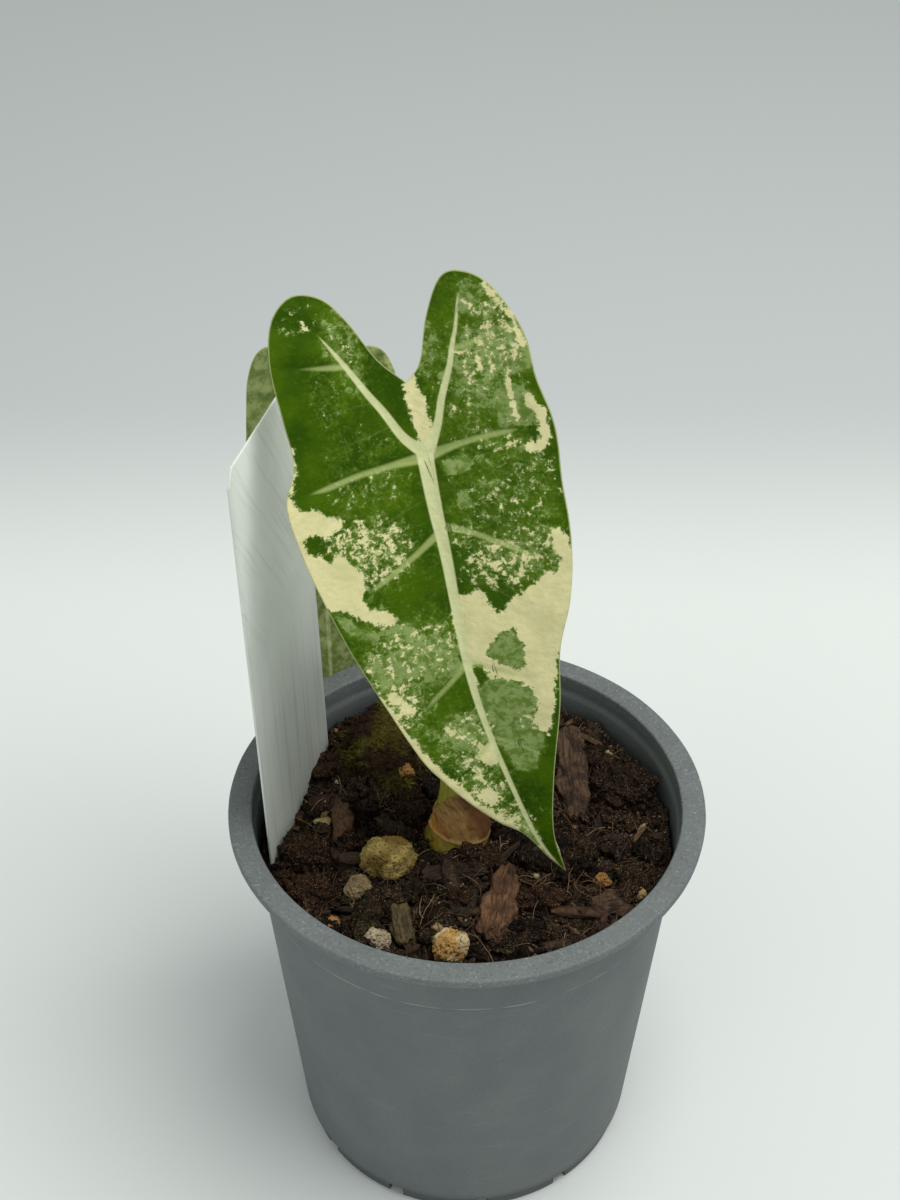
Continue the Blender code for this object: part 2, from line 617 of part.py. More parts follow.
def build():
    plastic = new_material("grey_plastic", (0.10, 0.115, 0.115), 0.6)
    peat = new_material("peat", (0.035, 0.024, 0.016), 0.95)
    pumice = new_material("pumice", (0.36, 0.27, 0.11), 0.9)
    bark = new_material("bark", (0.12, 0.065, 0.035), 0.85)
    moss = new_material("moss", (0.05, 0.05, 0.015), 0.95)
    skin = new_material("corm_skin", (0.30, 0.28, 0.06), 0.5)
    paper = new_material("dry_scale", (0.24, 0.14, 0.06), 0.7)
    stalk = new_material("petiole_green", (0.28, 0.33, 0.12), 0.45)
    leaf = new_material("leaf_green", (0.06, 0.16, 0.02), 0.4)
    white = new_material("white_plastic", (0.62, 0.66, 0.66), 0.5)

    make_pot(plastic)
    soil = make_soil(peat)
    ground = soil_level(*CORM_CENTRE)

    buried = [make_corm(skin, ground), make_sheath(paper, ground), make_label(white)]
    for seed, entry in enumerate(STONES):
        large = max(entry[2]) > 4.0
        buried.append(rounded_piece(entry, pumice, seed + 1, detail=3 if large else 2))
    for seed, entry in enumerate(LUMPS):
        buried.append(rounded_piece(entry, peat, seed + 31, roughness=0.25))
    for seed, entry in enumerate(CHIPS):
        tilt = CHIP_TILT.get(entry[0], 0.0)
        detail = 3 if max(entry[2]) > 8.0 else 2
        buried.append(rounded_piece(entry, bark, seed + 51, detail=detail, tilt=tilt))
    cushion = rounded_piece(MOSS, moss, 71, roughness=0.2, detail=3)
    stone = rounded_piece(MOSS_STONE, pumice, 81)
    cut(cushion, swollen_copy(stone, POCKET))
    buried.append(cushion)
    for piece in buried:
        cut(soil, swollen_copy(piece, POCKET))
    cut(soil, swollen_copy(stone, POCKET))

    stalk_foot = ground + CORM_HEIGHT + GAP
    front = front_blade()
    make_blade("front_leaf", front, leaf)
    end = petiole_end(front, FRONT_PETIOLE_RADIUS[1])
    foot = Vector((*FRONT_PETIOLE_BASE, stalk_foot))
    rise = end.z - foot.z
    make_petiole("front_petiole", [
        foot,
        foot + Vector((-0.3 * MM, 0.2 * MM, rise * 0.15)),
        foot + Vector((-1.3 * MM, 3.0 * MM, rise * 0.50)),
        end + Vector((0.6 * MM, 4.4 * MM, -rise * 0.16)),
        end,
    ], FRONT_PETIOLE_RADIUS, stalk)

    back = back_blade()
    make_blade("back_leaf", back, leaf)
    end = petiole_end(back, BACK_PETIOLE_RADIUS[1])
    foot = Vector((*BACK_PETIOLE_BASE, stalk_foot))
    rise = end - foot
    make_petiole("back_petiole", [
        foot,
        foot + Vector((rise.x * 0.06, rise.y * 0.06, rise.z * 0.25)),
        foot + Vector((rise.x * 0.30, rise.y * 0.30, rise.z * 0.66)),
        foot + Vector((rise.x * 0.72, rise.y * 0.72, rise.z * 0.97)),
        end,
    ], BACK_PETIOLE_RADIUS, stalk)


for old in list(bpy.data.objects):
    bpy.data.objects.remove(old)
PARTS = new_collection("potted_alocasia")
CUTTERS = new_collection("cutters")
build()
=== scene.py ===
"""Looks of the potted alocasia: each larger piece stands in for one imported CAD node, in its place.

Lengths are in metres, written as millimetres times MM. A leaf's own drawing (its outline, veins and
patches) is in plain millimetres: across the blade, and down it from the petiole's end. Materials
measure in millimetres too. Colours are display colours, with red, green and blue from 0 to 255.
"""

import math
import random

import bmesh
import bpy
import numpy as np
from mathutils import Matrix, Vector, noise


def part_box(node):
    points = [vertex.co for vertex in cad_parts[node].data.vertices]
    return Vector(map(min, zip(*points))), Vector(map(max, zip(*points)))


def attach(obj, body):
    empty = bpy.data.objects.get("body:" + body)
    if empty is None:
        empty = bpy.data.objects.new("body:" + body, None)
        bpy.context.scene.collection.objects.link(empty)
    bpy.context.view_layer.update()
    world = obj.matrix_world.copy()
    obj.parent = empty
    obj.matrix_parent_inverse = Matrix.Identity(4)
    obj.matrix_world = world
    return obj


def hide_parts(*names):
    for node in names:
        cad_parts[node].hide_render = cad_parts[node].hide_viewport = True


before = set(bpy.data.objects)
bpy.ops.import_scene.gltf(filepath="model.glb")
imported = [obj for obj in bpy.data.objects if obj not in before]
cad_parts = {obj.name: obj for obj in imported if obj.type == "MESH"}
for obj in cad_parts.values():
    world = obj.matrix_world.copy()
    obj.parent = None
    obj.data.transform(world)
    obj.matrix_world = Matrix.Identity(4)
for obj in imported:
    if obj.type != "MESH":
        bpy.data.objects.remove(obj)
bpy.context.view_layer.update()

MM = 0.001

# Taken from the frame
POT_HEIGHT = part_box("pot")[1].z
RIM_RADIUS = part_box("pot")[1].x
SOIL_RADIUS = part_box("soil")[1].x

# The pot's section, with the same values as the part
LIP_THICKNESS = 2.0 * MM
LIP_WIDTH = 5.2 * MM
LIP_OVERHANG = 4.5 * MM
SHOULDER_HEIGHT = 13.2 * MM
SHOULDER_TAPER = 1.1 * MM
LEDGE_DEPTH = 4.2 * MM
LEDGE_HEIGHT = 1.5 * MM
STEP_WIDTH = 0.6 * MM
STEP_HEIGHT = 1.0 * MM
BASE_RADIUS = 40.0 * MM
WALL = 0.9 * MM
FOOT_HEIGHT = 3.4 * MM
FOOT_WIDTH = 2.5 * MM
FOOT_COUNT = 12
FOOT_GAP = 3.5 * MM
FOOT_FIRST_GAP = math.radians(5.0)
FOOT_RADIUS = BASE_RADIUS - 1.0 * MM
FLOOR_BOTTOM = 3.0 * MM
FLOOR_TOP = 4.3 * MM
DRAIN_RADIUS = 3.0 * MM
DRAIN_CIRCLE = 31.0 * MM
LIP_BOTTOM = POT_HEIGHT - LIP_THICKNESS
BORE_RADIUS = RIM_RADIUS - LIP_WIDTH
SHOULDER_RADIUS = RIM_RADIUS - LIP_OVERHANG
SHOULDER_FOOT_RADIUS = SHOULDER_RADIUS - SHOULDER_TAPER
SHOULDER_FOOT = LIP_BOTTOM - SHOULDER_HEIGHT
BODY_RADIUS = SHOULDER_FOOT_RADIUS - STEP_WIDTH
BODY_TOP = SHOULDER_FOOT - STEP_HEIGHT
POT_STEPS = 240                    # vertices round the pot

# The soil's surface, and what is strewn on it
SOIL_TOP = POT_HEIGHT - 11.9 * MM
SOIL_BACK_RISE = 2.6 * MM
SOIL_LUMP_HEIGHT = 0.7 * MM
SOIL_LUMP_SPACING = 9.0 * MM
SOIL_SPOKES = 500
SOIL_RINGS = 118
FIBRE_COUNT = 560
STRAND_COUNT = 2600

# The plant
CORM_CENTRE = Vector((-2.1, 0.0, 0.0)) * MM
CORM_RADIUS = 7.4 * MM
CORM_TOP_RADIUS = 4.1 * MM
CORM_HEIGHT = 12.5 * MM
CORM_BURIED = 8.0 * MM
BLADE_THICKNESS = 0.42 * MM
EDGE_THICKNESS = 0.2 * MM
LEAF_SPOKES = 300                  # on each side
LEAF_RINGS = 84
FRONT_LENGTH = 98.65 * MM
FRONT_WIDTH = 53.4 * MM
FRONT_NORMAL = Vector((0.0, -0.972, 0.233))
FRONT_DOWN = Vector((0.295, -0.223, -0.929))
BACK_LENGTH = 89.8 * MM
BACK_WIDTH = 36.9 * MM
BACK_YAW = math.radians(15.0)
BACK_SLOPE = math.radians(88.0)

# The camera and the lights
CAMERA_PLACE = (-0.0037, -0.28605, 0.37459)
CAMERA_PITCH = math.radians(38.0)  # below level
CAMERA_LENS = 54.0
LIGHT_SIZE = 0.7


# Colour and mesh helpers ------------------------------------------------------------

def srgb(red, green, blue):
    """A display colour as the linear colour that a shader takes."""
    def linear(value):
        value /= 255.0
        return value / 12.92 if value <= 0.04045 else ((value + 0.055) / 1.055) ** 2.4
    return (linear(red), linear(green), linear(blue), 1.0)


def tone(display):
    """A display colour as a vector, for blending."""
    return Vector(srgb(*display)[:3])


def link(name, data):
    """An object with that data, in the scene."""
    made = bpy.data.objects.new(name, data)
    bpy.context.scene.collection.objects.link(made)
    return made


def new_object(name, mesh, material):
    """A smooth-shaded object with that one material."""
    mesh.materials.clear()
    mesh.materials.append(material)
    mesh.shade_smooth()
    return link(name, mesh)


def new_piece(name, vertices, faces, material):
    mesh = bpy.data.meshes.new(name)
    mesh.from_pydata([tuple(map(float, v)) for v in vertices], [], faces)
    mesh.update()
    return new_object(name, mesh, material)


def from_shape(name, shape, material, moved=()):
    """An object made from a BMesh, which ends here, with its vertices moved to any places given."""
    for vertex, place in zip(shape.verts, moved):
        vertex.co = place
    mesh = bpy.data.meshes.new(name)
    shape.to_mesh(mesh)
    shape.free()
    return new_object(name, mesh, material)


def place_piece(piece, slot, *nodes):
    """Every piece rides on the one body and may stand for CAD nodes; the slot is not used."""
    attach(piece, "root")
    if nodes:
        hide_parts(*nodes)


def set_attribute(piece, name, values):
    """A number, vector or colour at each vertex, for the material to read."""
    values = np.asarray(values, np.float32)
    kind, key = {1: ("FLOAT", "value"), 3: ("FLOAT_VECTOR", "vector"),
                 4: ("FLOAT_COLOR", "color")}[values.size // len(values)]
    attribute = piece.data.attributes.new(name, kind, "POINT")
    attribute.data.foreach_set(key, values.ravel())


class Heap:
    """Gathers many small meshes, each with its own tint, into one piece."""

    def __init__(self):
        self.vertices, self.faces, self.tints = [], [], []

    def add(self, vertices, faces, tint):
        start = len(self.vertices)
        self.vertices += list(vertices)
        self.faces += [tuple(start + i for i in face) for face in faces]
        self.tints += [tint] * len(vertices)

    def finish(self, name, material, slot):
        piece = new_piece(name, self.vertices, self.faces, material)
        set_attribute(piece, "tint", self.tints)
        place_piece(piece, slot)
        return piece


def smooth_step(low, high, value):
    t = np.clip((value - low) / (high - low), 0.0, 1.0)
    return t * t * (3.0 - 2.0 * t)


def fractal(point, size, octaves, gain=0.5):
    """Summed noise about zero at a point, with its largest lumps of that size."""
    total, amount = 0.0, 1.0
    place = Vector(point) / size
    for _ in range(octaves):
        total += amount * noise.noise(place)
        place = place * 2.03 + Vector((11.7, 3.1, 5.9))
        amount *= gain
    return total


def smooth_run(points, per_span):
    """A Catmull-Rom curve through the points, which may have any number of coordinates."""
    ends = [[2 * a - b for a, b in zip(points[0], points[1])],
            [2 * a - b for a, b in zip(points[-1], points[-2])]]
    padded = [ends[0], *points, ends[1]]
    run = []
    for i in range(1, len(padded) - 2):
        for step in range(per_span):
            t = step / per_span
            run.append(tuple(
                0.5 * (2 * b + (c - a) * t + (2 * a - 5 * b + 4 * c - d) * t ** 2
                       + (3 * b - a - 3 * c + d) * t ** 3)
                for a, b, c, d in zip(*padded[i - 1:i + 3])))
    run.append(tuple(points[-1]))
    return run


def evenly_spaced(run, count):
    """count points at equal distances along the run, its last point left out."""
    run = np.asarray(run)
    lengths = np.concatenate([[0.0], np.cumsum(np.linalg.norm(np.diff(run, axis=0), axis=1))])
    wanted = lengths[-1] * np.arange(count) / count
    return np.column_stack([np.interp(wanted, lengths, run[:, k]) for k in range(run.shape[1])])


def band_faces(start, bands, around, flipped=False):
    """Quads between rings of vertices, which follow each other from start on."""
    faces = []
    for j in range(bands):
        a, b = start + j * around, start + (j + 1) * around
        for k in range(around):
            n = (k + 1) % around
            faces.append((a + k, b + k, b + n, a + n) if flipped
                         else (a + k, a + n, b + n, b + k))
    return faces


def tube_faces(bands, around):
    """Bands of quads with a cap at each end."""
    last = bands * around
    caps = [tuple(range(around))[::-1], tuple(range(last, last + around))]
    return band_faces(0, bands, around) + caps


def disc_faces(bands, around):
    """A fan about vertex 0, and bands of quads round it."""
    fan = [(0, 1 + k, 1 + (k + 1) % around) for k in range(around)]
    return fan + band_faces(1, bands, around, flipped=True)


def tube(points, radii, sides):
    """Vertices and faces of a closed round tube, with (around, along) at each vertex."""
    points = [Vector(p) for p in points]
    vertices, places = [], []
    side = Vector((1.0, 0.0, 0.0))
    length = 0.0
    for i, point in enumerate(points):
        ahead = points[min(i + 1, len(points) - 1)] - points[max(i - 1, 0)]
        ahead.normalize()
        side = (side - ahead * side.dot(ahead)).normalized()
        other = ahead.cross(side)
        if i:
            length += (point - points[i - 1]).length
        for k in range(sides):
            angle = math.tau * k / sides
            vertices.append(point + (side * math.cos(angle) + other * math.sin(angle)) * radii[i])
            places.append((math.cos(angle), math.sin(angle), length))
    return vertices, tube_faces(len(points) - 1, sides), places


def lathe(profile, steps):
    """Vertices and faces of a (radius, z) profile turned about Z, closed where it meets the axis."""
    vertices, rings = [], []
    for radius, z in profile:
        if radius < 1e-7:
            rings.append([len(vertices)] * steps)
            vertices.append((0.0, 0.0, z))
            continue
        rings.append(list(range(len(vertices), len(vertices) + steps)))
        for k in range(steps):
            angle = math.tau * k / steps
            vertices.append((radius * math.cos(angle), radius * math.sin(angle), z))
    faces = []
    for lower, upper in zip(rings, rings[1:]):
        for k in range(steps):
            n = (k + 1) % steps
            face = tuple(dict.fromkeys((lower[k], lower[n], upper[n], upper[k])))
            if len(face) > 2:
                faces.append(face)
    return vertices, faces


def outward(mesh):
    """Turn a closed mesh's faces outwards."""
    shape = bmesh.new()
    shape.from_mesh(mesh)
    bmesh.ops.recalc_face_normals(shape, faces=shape.faces)
    shape.to_mesh(mesh)
    shape.free()


def rounded(profile, radius):
    """The profile with an arc at each corner whose third value asks for one, as a share of radius."""
    steps = 4
    run = [profile[0][:2]]
    for before, corner, after in zip(profile, profile[1:], profile[2:]):
        here = Vector(corner[:2])
        if len(corner) < 3:
            run.append(tuple(here))
            continue
        back, ahead = Vector(before[:2]) - here, Vector(after[:2]) - here
        reach = min(radius * corner[2], 0.45 * back.length, 0.45 * ahead.length)
        start, end = here + back.normalized() * reach, here + ahead.normalized() * reach
        for i in range(steps + 1):
            t = i / steps
            run.append(tuple(start * (1 - t) ** 2 + here * 2 * t * (1 - t) + end * t * t))
    run.append(profile[-1][:2])
    return run


# Material helper --------------------------------------------------------------------

class Shade:
    """Builds one material's nodes with short calls. A colour is a socket or a display colour."""

    def __init__(self, name, roughness, specular):
        self.material = bpy.data.materials.new(name)
        self.material.use_nodes = True
        self.tree = self.material.node_tree
        self.shader = self.tree.nodes["Principled BSDF"]
        self.shader.inputs["Roughness"].default_value = roughness
        self.shader.inputs["Specular IOR Level"].default_value = specular

    def node(self, kind, values=None, **settings):
        node = self.tree.nodes.new(kind)
        for key, value in settings.items():
            setattr(node, key, value)
        for key, value in (values or {}).items():
            if isinstance(value, bpy.types.NodeSocket):
                self.tree.links.new(value, node.inputs[key])
            else:
                node.inputs[key].default_value = value
        return node

    def attribute(self, name, output="Fac"):
        return self.node("ShaderNodeAttribute", attribute_name=name).outputs[output]

    def position(self):
        """The place in the row frame, in millimetres."""
        place = self.node("ShaderNodeTexCoord").outputs["Object"]
        return self.node("ShaderNodeVectorMath", {0: place, 1: (1.0 / MM,) * 3},
                         operation="MULTIPLY").outputs["Vector"]

    def noise(self, vector, size, detail=4.0, roughness=0.55, distortion=0.0, scale=None,
              shift=None):
        """Noise from 0 to 1 whose lumps have about that size in millimetres.

        The scale shortens the lumps along each axis, and the shift moves them.
        """
        if scale or shift:
            vector = self.node("ShaderNodeMapping", {
                "Vector": vector, "Scale": scale or (1.0,) * 3,
                "Location": shift or (0.0,) * 3}).outputs["Vector"]
        return self.node("ShaderNodeTexNoise", {
            "Vector": vector, "Scale": 1.0 / size, "Detail": detail, "Roughness": roughness,
            "Distortion": distortion}).outputs["Fac"]

    def maths(self, operation, a, b=0.0):
        return self.node("ShaderNodeMath", {0: a, 1: b}, operation=operation).outputs[0]

    def add(self, a, b):
        return self.maths("ADD", a, b)

    def times(self, a, b):
        return self.maths("MULTIPLY", a, b)

    def step(self, value, low, high):
        """A smooth step from 0 at low to 1 at high."""
        return self.node("ShaderNodeMapRange", {
            "Value": value, "From Min": low, "From Max": high},
            interpolation_type="SMOOTHSTEP").outputs["Result"]

    def map(self, value, low, high, to_low, to_high):
        return self.node("ShaderNodeMapRange", {
            "Value": value, "From Min": low, "From Max": high, "To Min": to_low,
            "To Max": to_high}).outputs["Result"]

    def mix(self, share, a, b, blend="MIX"):
        node = self.node("ShaderNodeMix", {"Factor": share}, data_type="RGBA", blend_type=blend)
        for socket, value in ((node.inputs[6], a), (node.inputs[7], b)):
            if isinstance(value, bpy.types.NodeSocket):
                self.tree.links.new(value, socket)
            else:
                socket.default_value = srgb(*value)
        return node.outputs[2]

    def over(self, colour, value, low, high, amount, tint):
        """The tint laid over the colour, more and more as the value goes from low to high."""
        return self.mix(self.times(self.step(value, low, high), amount), colour, tint)

    def axis(self, vector, name):
        return self.node("ShaderNodeSeparateXYZ", {"Vector": vector}).outputs[name]

    def finish(self, colour, roughness=None, bump=None, bump_height=0.1):
        """Connect the shader; bump_height is in millimetres."""
        self.tree.links.new(colour, self.shader.inputs["Base Color"])
        if roughness is not None:
            self.tree.links.new(roughness, self.shader.inputs["Roughness"])
        if bump is not None:
            bumped = self.node("ShaderNodeBump", {
                "Strength": 1.0, "Distance": bump_height * MM, "Height": bump})
            self.tree.links.new(bumped.outputs["Normal"], self.shader.inputs["Normal"])
        return self.material


# Materials --------------------------------------------------------------------------

def pot_plastic():
    s = Shade("pot_plastic", 0.62, 0.35)
    place = s.position()
    height = s.axis(place, "Z")
    grain = s.noise(place, 0.7, 3.0, 0.7)
    colour = s.mix(s.step(s.noise(place, 14.0, 3.0), 0.3, 0.7), (96, 103, 104), (104, 110, 110))
    lip_line = LIP_BOTTOM / MM
    lip = s.step(height, lip_line - 1.2, lip_line + 0.2)
    strength = s.map(lip, 0.0, 1.0, 0.25, 0.75)
    colour = s.over(colour, grain, 0.5, 0.72, strength, (138, 142, 138))
    pitted = s.noise(place, 0.8, 4.0, 0.7, shift=(7.0, 3.0, 0.0))
    colour = s.over(colour, pitted, 0.54, 0.68, strength, (72, 76, 76))
    # painted highlight: the lip made a little lighter, as lit from above
    colour = s.mix(s.times(lip, 0.16), colour, (124, 128, 125))
    # painted shade: the inner wall darker, and darker still towards the soil
    inner_shade_tone = s.mix(s.step(height, lip_line - 2.7, lip_line - 7.7), (44, 47, 47), (22, 24, 24))
    colour = s.mix(s.times(s.attribute("inside"), 0.94), colour, inner_shade_tone)
    # dust and small pale marks, thickest on the lip
    specks = s.noise(place, 0.9, 6.0, 0.75)
    patches = s.noise(place, 9.0, 2.0, shift=(40.0, 0.0, 0.0))
    limit = s.add(s.times(patches, 0.22), s.times(lip, 0.05))
    dust = s.step(s.add(specks, limit), 0.76, 0.84)
    colour = s.mix(s.times(dust, s.map(lip, 0.0, 1.0, 0.2, 0.65)), colour, (172, 174, 166))
    # rubbed streaks round the body, a painted highlight along the shoulder's foot, and painted shadow
    # darkening the base
    streaks = s.noise(place, 1.5, 4.0, 0.6, scale=(0.12, 0.12, 1.6))
    colour = s.over(colour, streaks, 0.58, 0.72, 0.12, (150, 155, 152))
    foot_line = s.maths("ABSOLUTE", s.add(height, -SHOULDER_FOOT / MM))
    foot_highlight = s.times(s.step(foot_line, 0.42, 0.12), s.step(patches, 0.4, 0.6))
    colour = s.mix(s.times(foot_highlight, 0.6), colour, (156, 162, 160))
    # painted shadow: darker towards the base
    colour = s.over(colour, height, 6.5, 3.0, 0.45, (62, 66, 66))
    rough = s.map(grain, 0.3, 0.7, 0.52, 0.72)
    return s.finish(colour, rough, s.add(grain, s.times(dust, 0.4)), 0.05)


def peat_mix():
    s = Shade("peat_mix", 0.8, 0.12)
    place = s.position()
    clods = s.noise(place, 3.2, 5.0, 0.65)
    grains = s.noise(place, 0.55, 4.0, 0.7)
    crumbs = s.noise(place, 0.3, 3.0, 0.65)
    # near-black in places: dark peat, with painted shade for the gaps between clods
    colour = s.mix(s.step(clods, 0.35, 0.65), (8, 6, 5), (38, 28, 19))
    colour = s.over(colour, grains, 0.52, 0.72, 0.5, (112, 86, 62))
    colour = s.over(colour, crumbs, 0.56, 0.68, 0.6, (172, 144, 112))
    colour = s.mix(0.85, colour, s.attribute("tint", "Color"), "MULTIPLY")
    fibre = s.noise(place, 0.5, 3.0, 0.6, 0.6, scale=(1.0, 0.18, 0.3))
    colour = s.over(colour, fibre, 0.62, 0.72, 0.5, (124, 98, 70))
    return s.finish(colour, None, s.add(grains, s.times(clods, 0.6)), 0.35)


def fibre_matter():
    s = Shade("fibre_matter", 0.8, 0.3)
    return s.finish(s.mix(s.noise(s.position(), 1.5), s.attribute("tint", "Color"), (70, 52, 36)))


def stone_material():
    s = Shade("pumice", 0.92, 0.25)
    place = s.position()
    tint = s.attribute("tint", "Color")
    fine = s.noise(place, 0.45, 5.0, 0.7)
    colour = s.mix(s.step(s.noise(place, 2.6, 4.0, 0.6), 0.35, 0.7),
                   s.mix(0.5, tint, (92, 66, 34)), tint)
    colour = s.over(colour, fine, 0.52, 0.72, 0.45, (196, 178, 128))
    cells = s.node("ShaderNodeTexVoronoi", {"Vector": place, "Scale": 1.0 / 0.75},
                   feature="F1").outputs["Distance"]
    pits = s.step(cells, 0.42, 0.12)
    colour = s.mix(s.times(pits, 0.55), colour, (44, 34, 18))
    colour = s.over(colour, s.noise(place, 1.1, 6.0, 0.75), 0.56, 0.68, 0.75, (40, 29, 19))
    return s.finish(colour, None, s.add(fine, s.times(pits, -0.8)), 0.3)


def bark_material():
    s = Shade("bark", 0.85, 0.3)
    grain = s.attribute("grain", "Vector")
    tint = s.attribute("tint", "Color")
    lines = s.noise(grain, 0.55, 5.0, 0.65, 0.4, scale=(0.16, 1.0, 1.0))
    flecks = s.noise(grain, 0.35, 4.0, 0.7, scale=(0.5, 1.0, 1.0), shift=(4.0, 9.0, 0.0))
    colour = s.mix(s.step(lines, 0.38, 0.6), s.mix(0.75, tint, (18, 12, 8)), tint)
    colour = s.over(colour, s.noise(grain, 2.8, 3.0), 0.45, 0.7, 0.3, (118, 88, 62))
    colour = s.over(colour, flecks, 0.58, 0.7, 0.4, (158, 130, 100))
    colour = s.over(colour, s.noise(grain, 1.0, 5.0, 0.75), 0.55, 0.7, 0.6, (30, 21, 15))
    return s.finish(colour, None, lines, 0.4)


def moss_material():
    s = Shade("moss", 0.95, 0.2)
    place = s.position()
    colour = s.mix(s.noise(place, 2.0, 4.0), (24, 19, 8), s.attribute("tint", "Color"))
    return s.finish(colour, None, s.noise(place, 0.5, 5.0, 0.7), 0.4)


def corm_material():
    s = Shade("corm_skin", 0.5, 0.4)
    place = s.position()
    fine = s.noise(place, 0.7, 5.0, 0.7, scale=(1.0, 1.0, 0.4))
    colour = s.mix(s.step(s.noise(place, 2.4, 3.0), 0.35, 0.65), (160, 140, 44), (122, 102, 34))
    colour = s.over(colour, fine, 0.52, 0.66, 0.6, (96, 62, 26))
    colour = s.mix(s.step(s.attribute("height"), 1.2, 0.0), colour, (62, 44, 22))
    return s.finish(colour, None, fine, 0.15)


def dry_scale():
    s = Shade("dry_scale", 0.6, 0.35)
    place = s.attribute("fibre", "Vector")
    across = s.axis(place, "X")
    threads = s.noise(place, 0.42, 4.0, 0.6, 0.25, scale=(1.0, 0.05, 1.0))
    thin = s.noise(place, 0.16, 2.0, 0.5, scale=(1.0, 0.03, 1.0), shift=(9.0, 0.0, 0.0))
    # bright orange on the left: the scale's own orange-brown, with a painted glow of light shining
    # through it
    colour = s.mix(s.step(across, -9.0, 1.0), (196, 124, 20), (158, 124, 72))
    colour = s.over(colour, threads, 0.46, 0.7, 0.5, (200, 166, 106))
    colour = s.over(colour, thin, 0.52, 0.68, 0.5, (96, 54, 16))
    colour = s.over(colour, s.noise(place, 2.4, 4.0, 0.6), 0.5, 0.62, 0.6, (112, 62, 18))
    # painted shade in the fold along the right side
    colour = s.over(colour, across, 2.5, 6.0, 0.8, (84, 42, 24))
    colour = s.mix(s.times(s.attribute("rim"), 0.75), colour, (186, 158, 106))
    return s.finish(colour, None, s.add(threads, thin), 0.2)


def petiole_material():
    s = Shade("petiole", 0.42, 0.45)
    place = s.attribute("along", "Vector")
    stripes = s.noise(place, 1.0, 3.0, 0.6, scale=(3.2, 3.2, 0.05))
    mottles = s.noise(place, 1.0, 4.0, 0.6, scale=(2.0, 2.0, 0.35))
    colour = s.mix(s.step(s.axis(place, "Z"), 2.0, 30.0), (158, 152, 58), (132, 148, 62))
    colour = s.over(colour, stripes, 0.45, 0.65, 0.6, (98, 108, 34))
    colour = s.over(colour, mottles, 0.56, 0.7, 0.45, (186, 184, 122))
    return s.finish(colour, None, stripes, 0.08)


def label_material():
    s = Shade("label_plastic", 0.5, 0.4)
    place = s.attribute("sheet", "Vector")
    height = s.axis(place, "Z")
    colour = s.mix(s.step(s.noise(place, 22.0, 2.0), 0.3, 0.7), (214, 220, 212), (224, 229, 220))
    # faint slanted rub marks near the top, and faint upright ones lower down
    turned = s.node("ShaderNodeMapping", {
        "Vector": place, "Rotation": (math.radians(58.0), 0.0, 0.0)}).outputs["Vector"]
    slant = s.noise(turned, 1.2, 2.0, 0.5, scale=(1.0, 0.05, 0.9))
    upright = s.noise(place, 1.2, 3.0, 0.5, scale=(1.0, 0.8, 0.03))
    for marks, high, low, top, amount, tint in (
            (slant, 0.66, 45.0, 75.0, 0.3, (184, 192, 188)),
            (upright, 0.68, 60.0, 30.0, 0.4, (178, 184, 176))):
        rubbed = s.times(s.step(marks, 0.5, high), s.step(height, low, top))
        colour = s.mix(s.times(rubbed, amount), colour, tint)
    # soil stains, and specks of soil thinning out upwards
    soil_line = s.add(height, s.times(s.noise(place, 2.5, 5.0, 0.7), 9.0))
    colour = s.over(colour, soil_line, 9.0, 2.0, 0.8, (64, 56, 48))
    specks = s.step(s.noise(place, 0.8, 4.0, 0.7), 0.74, 0.79)
    colour = s.mix(s.times(specks, s.step(height, 62.0, 6.0)), colour, (60, 50, 42))
    return s.finish(colour, None, upright, 0.03)


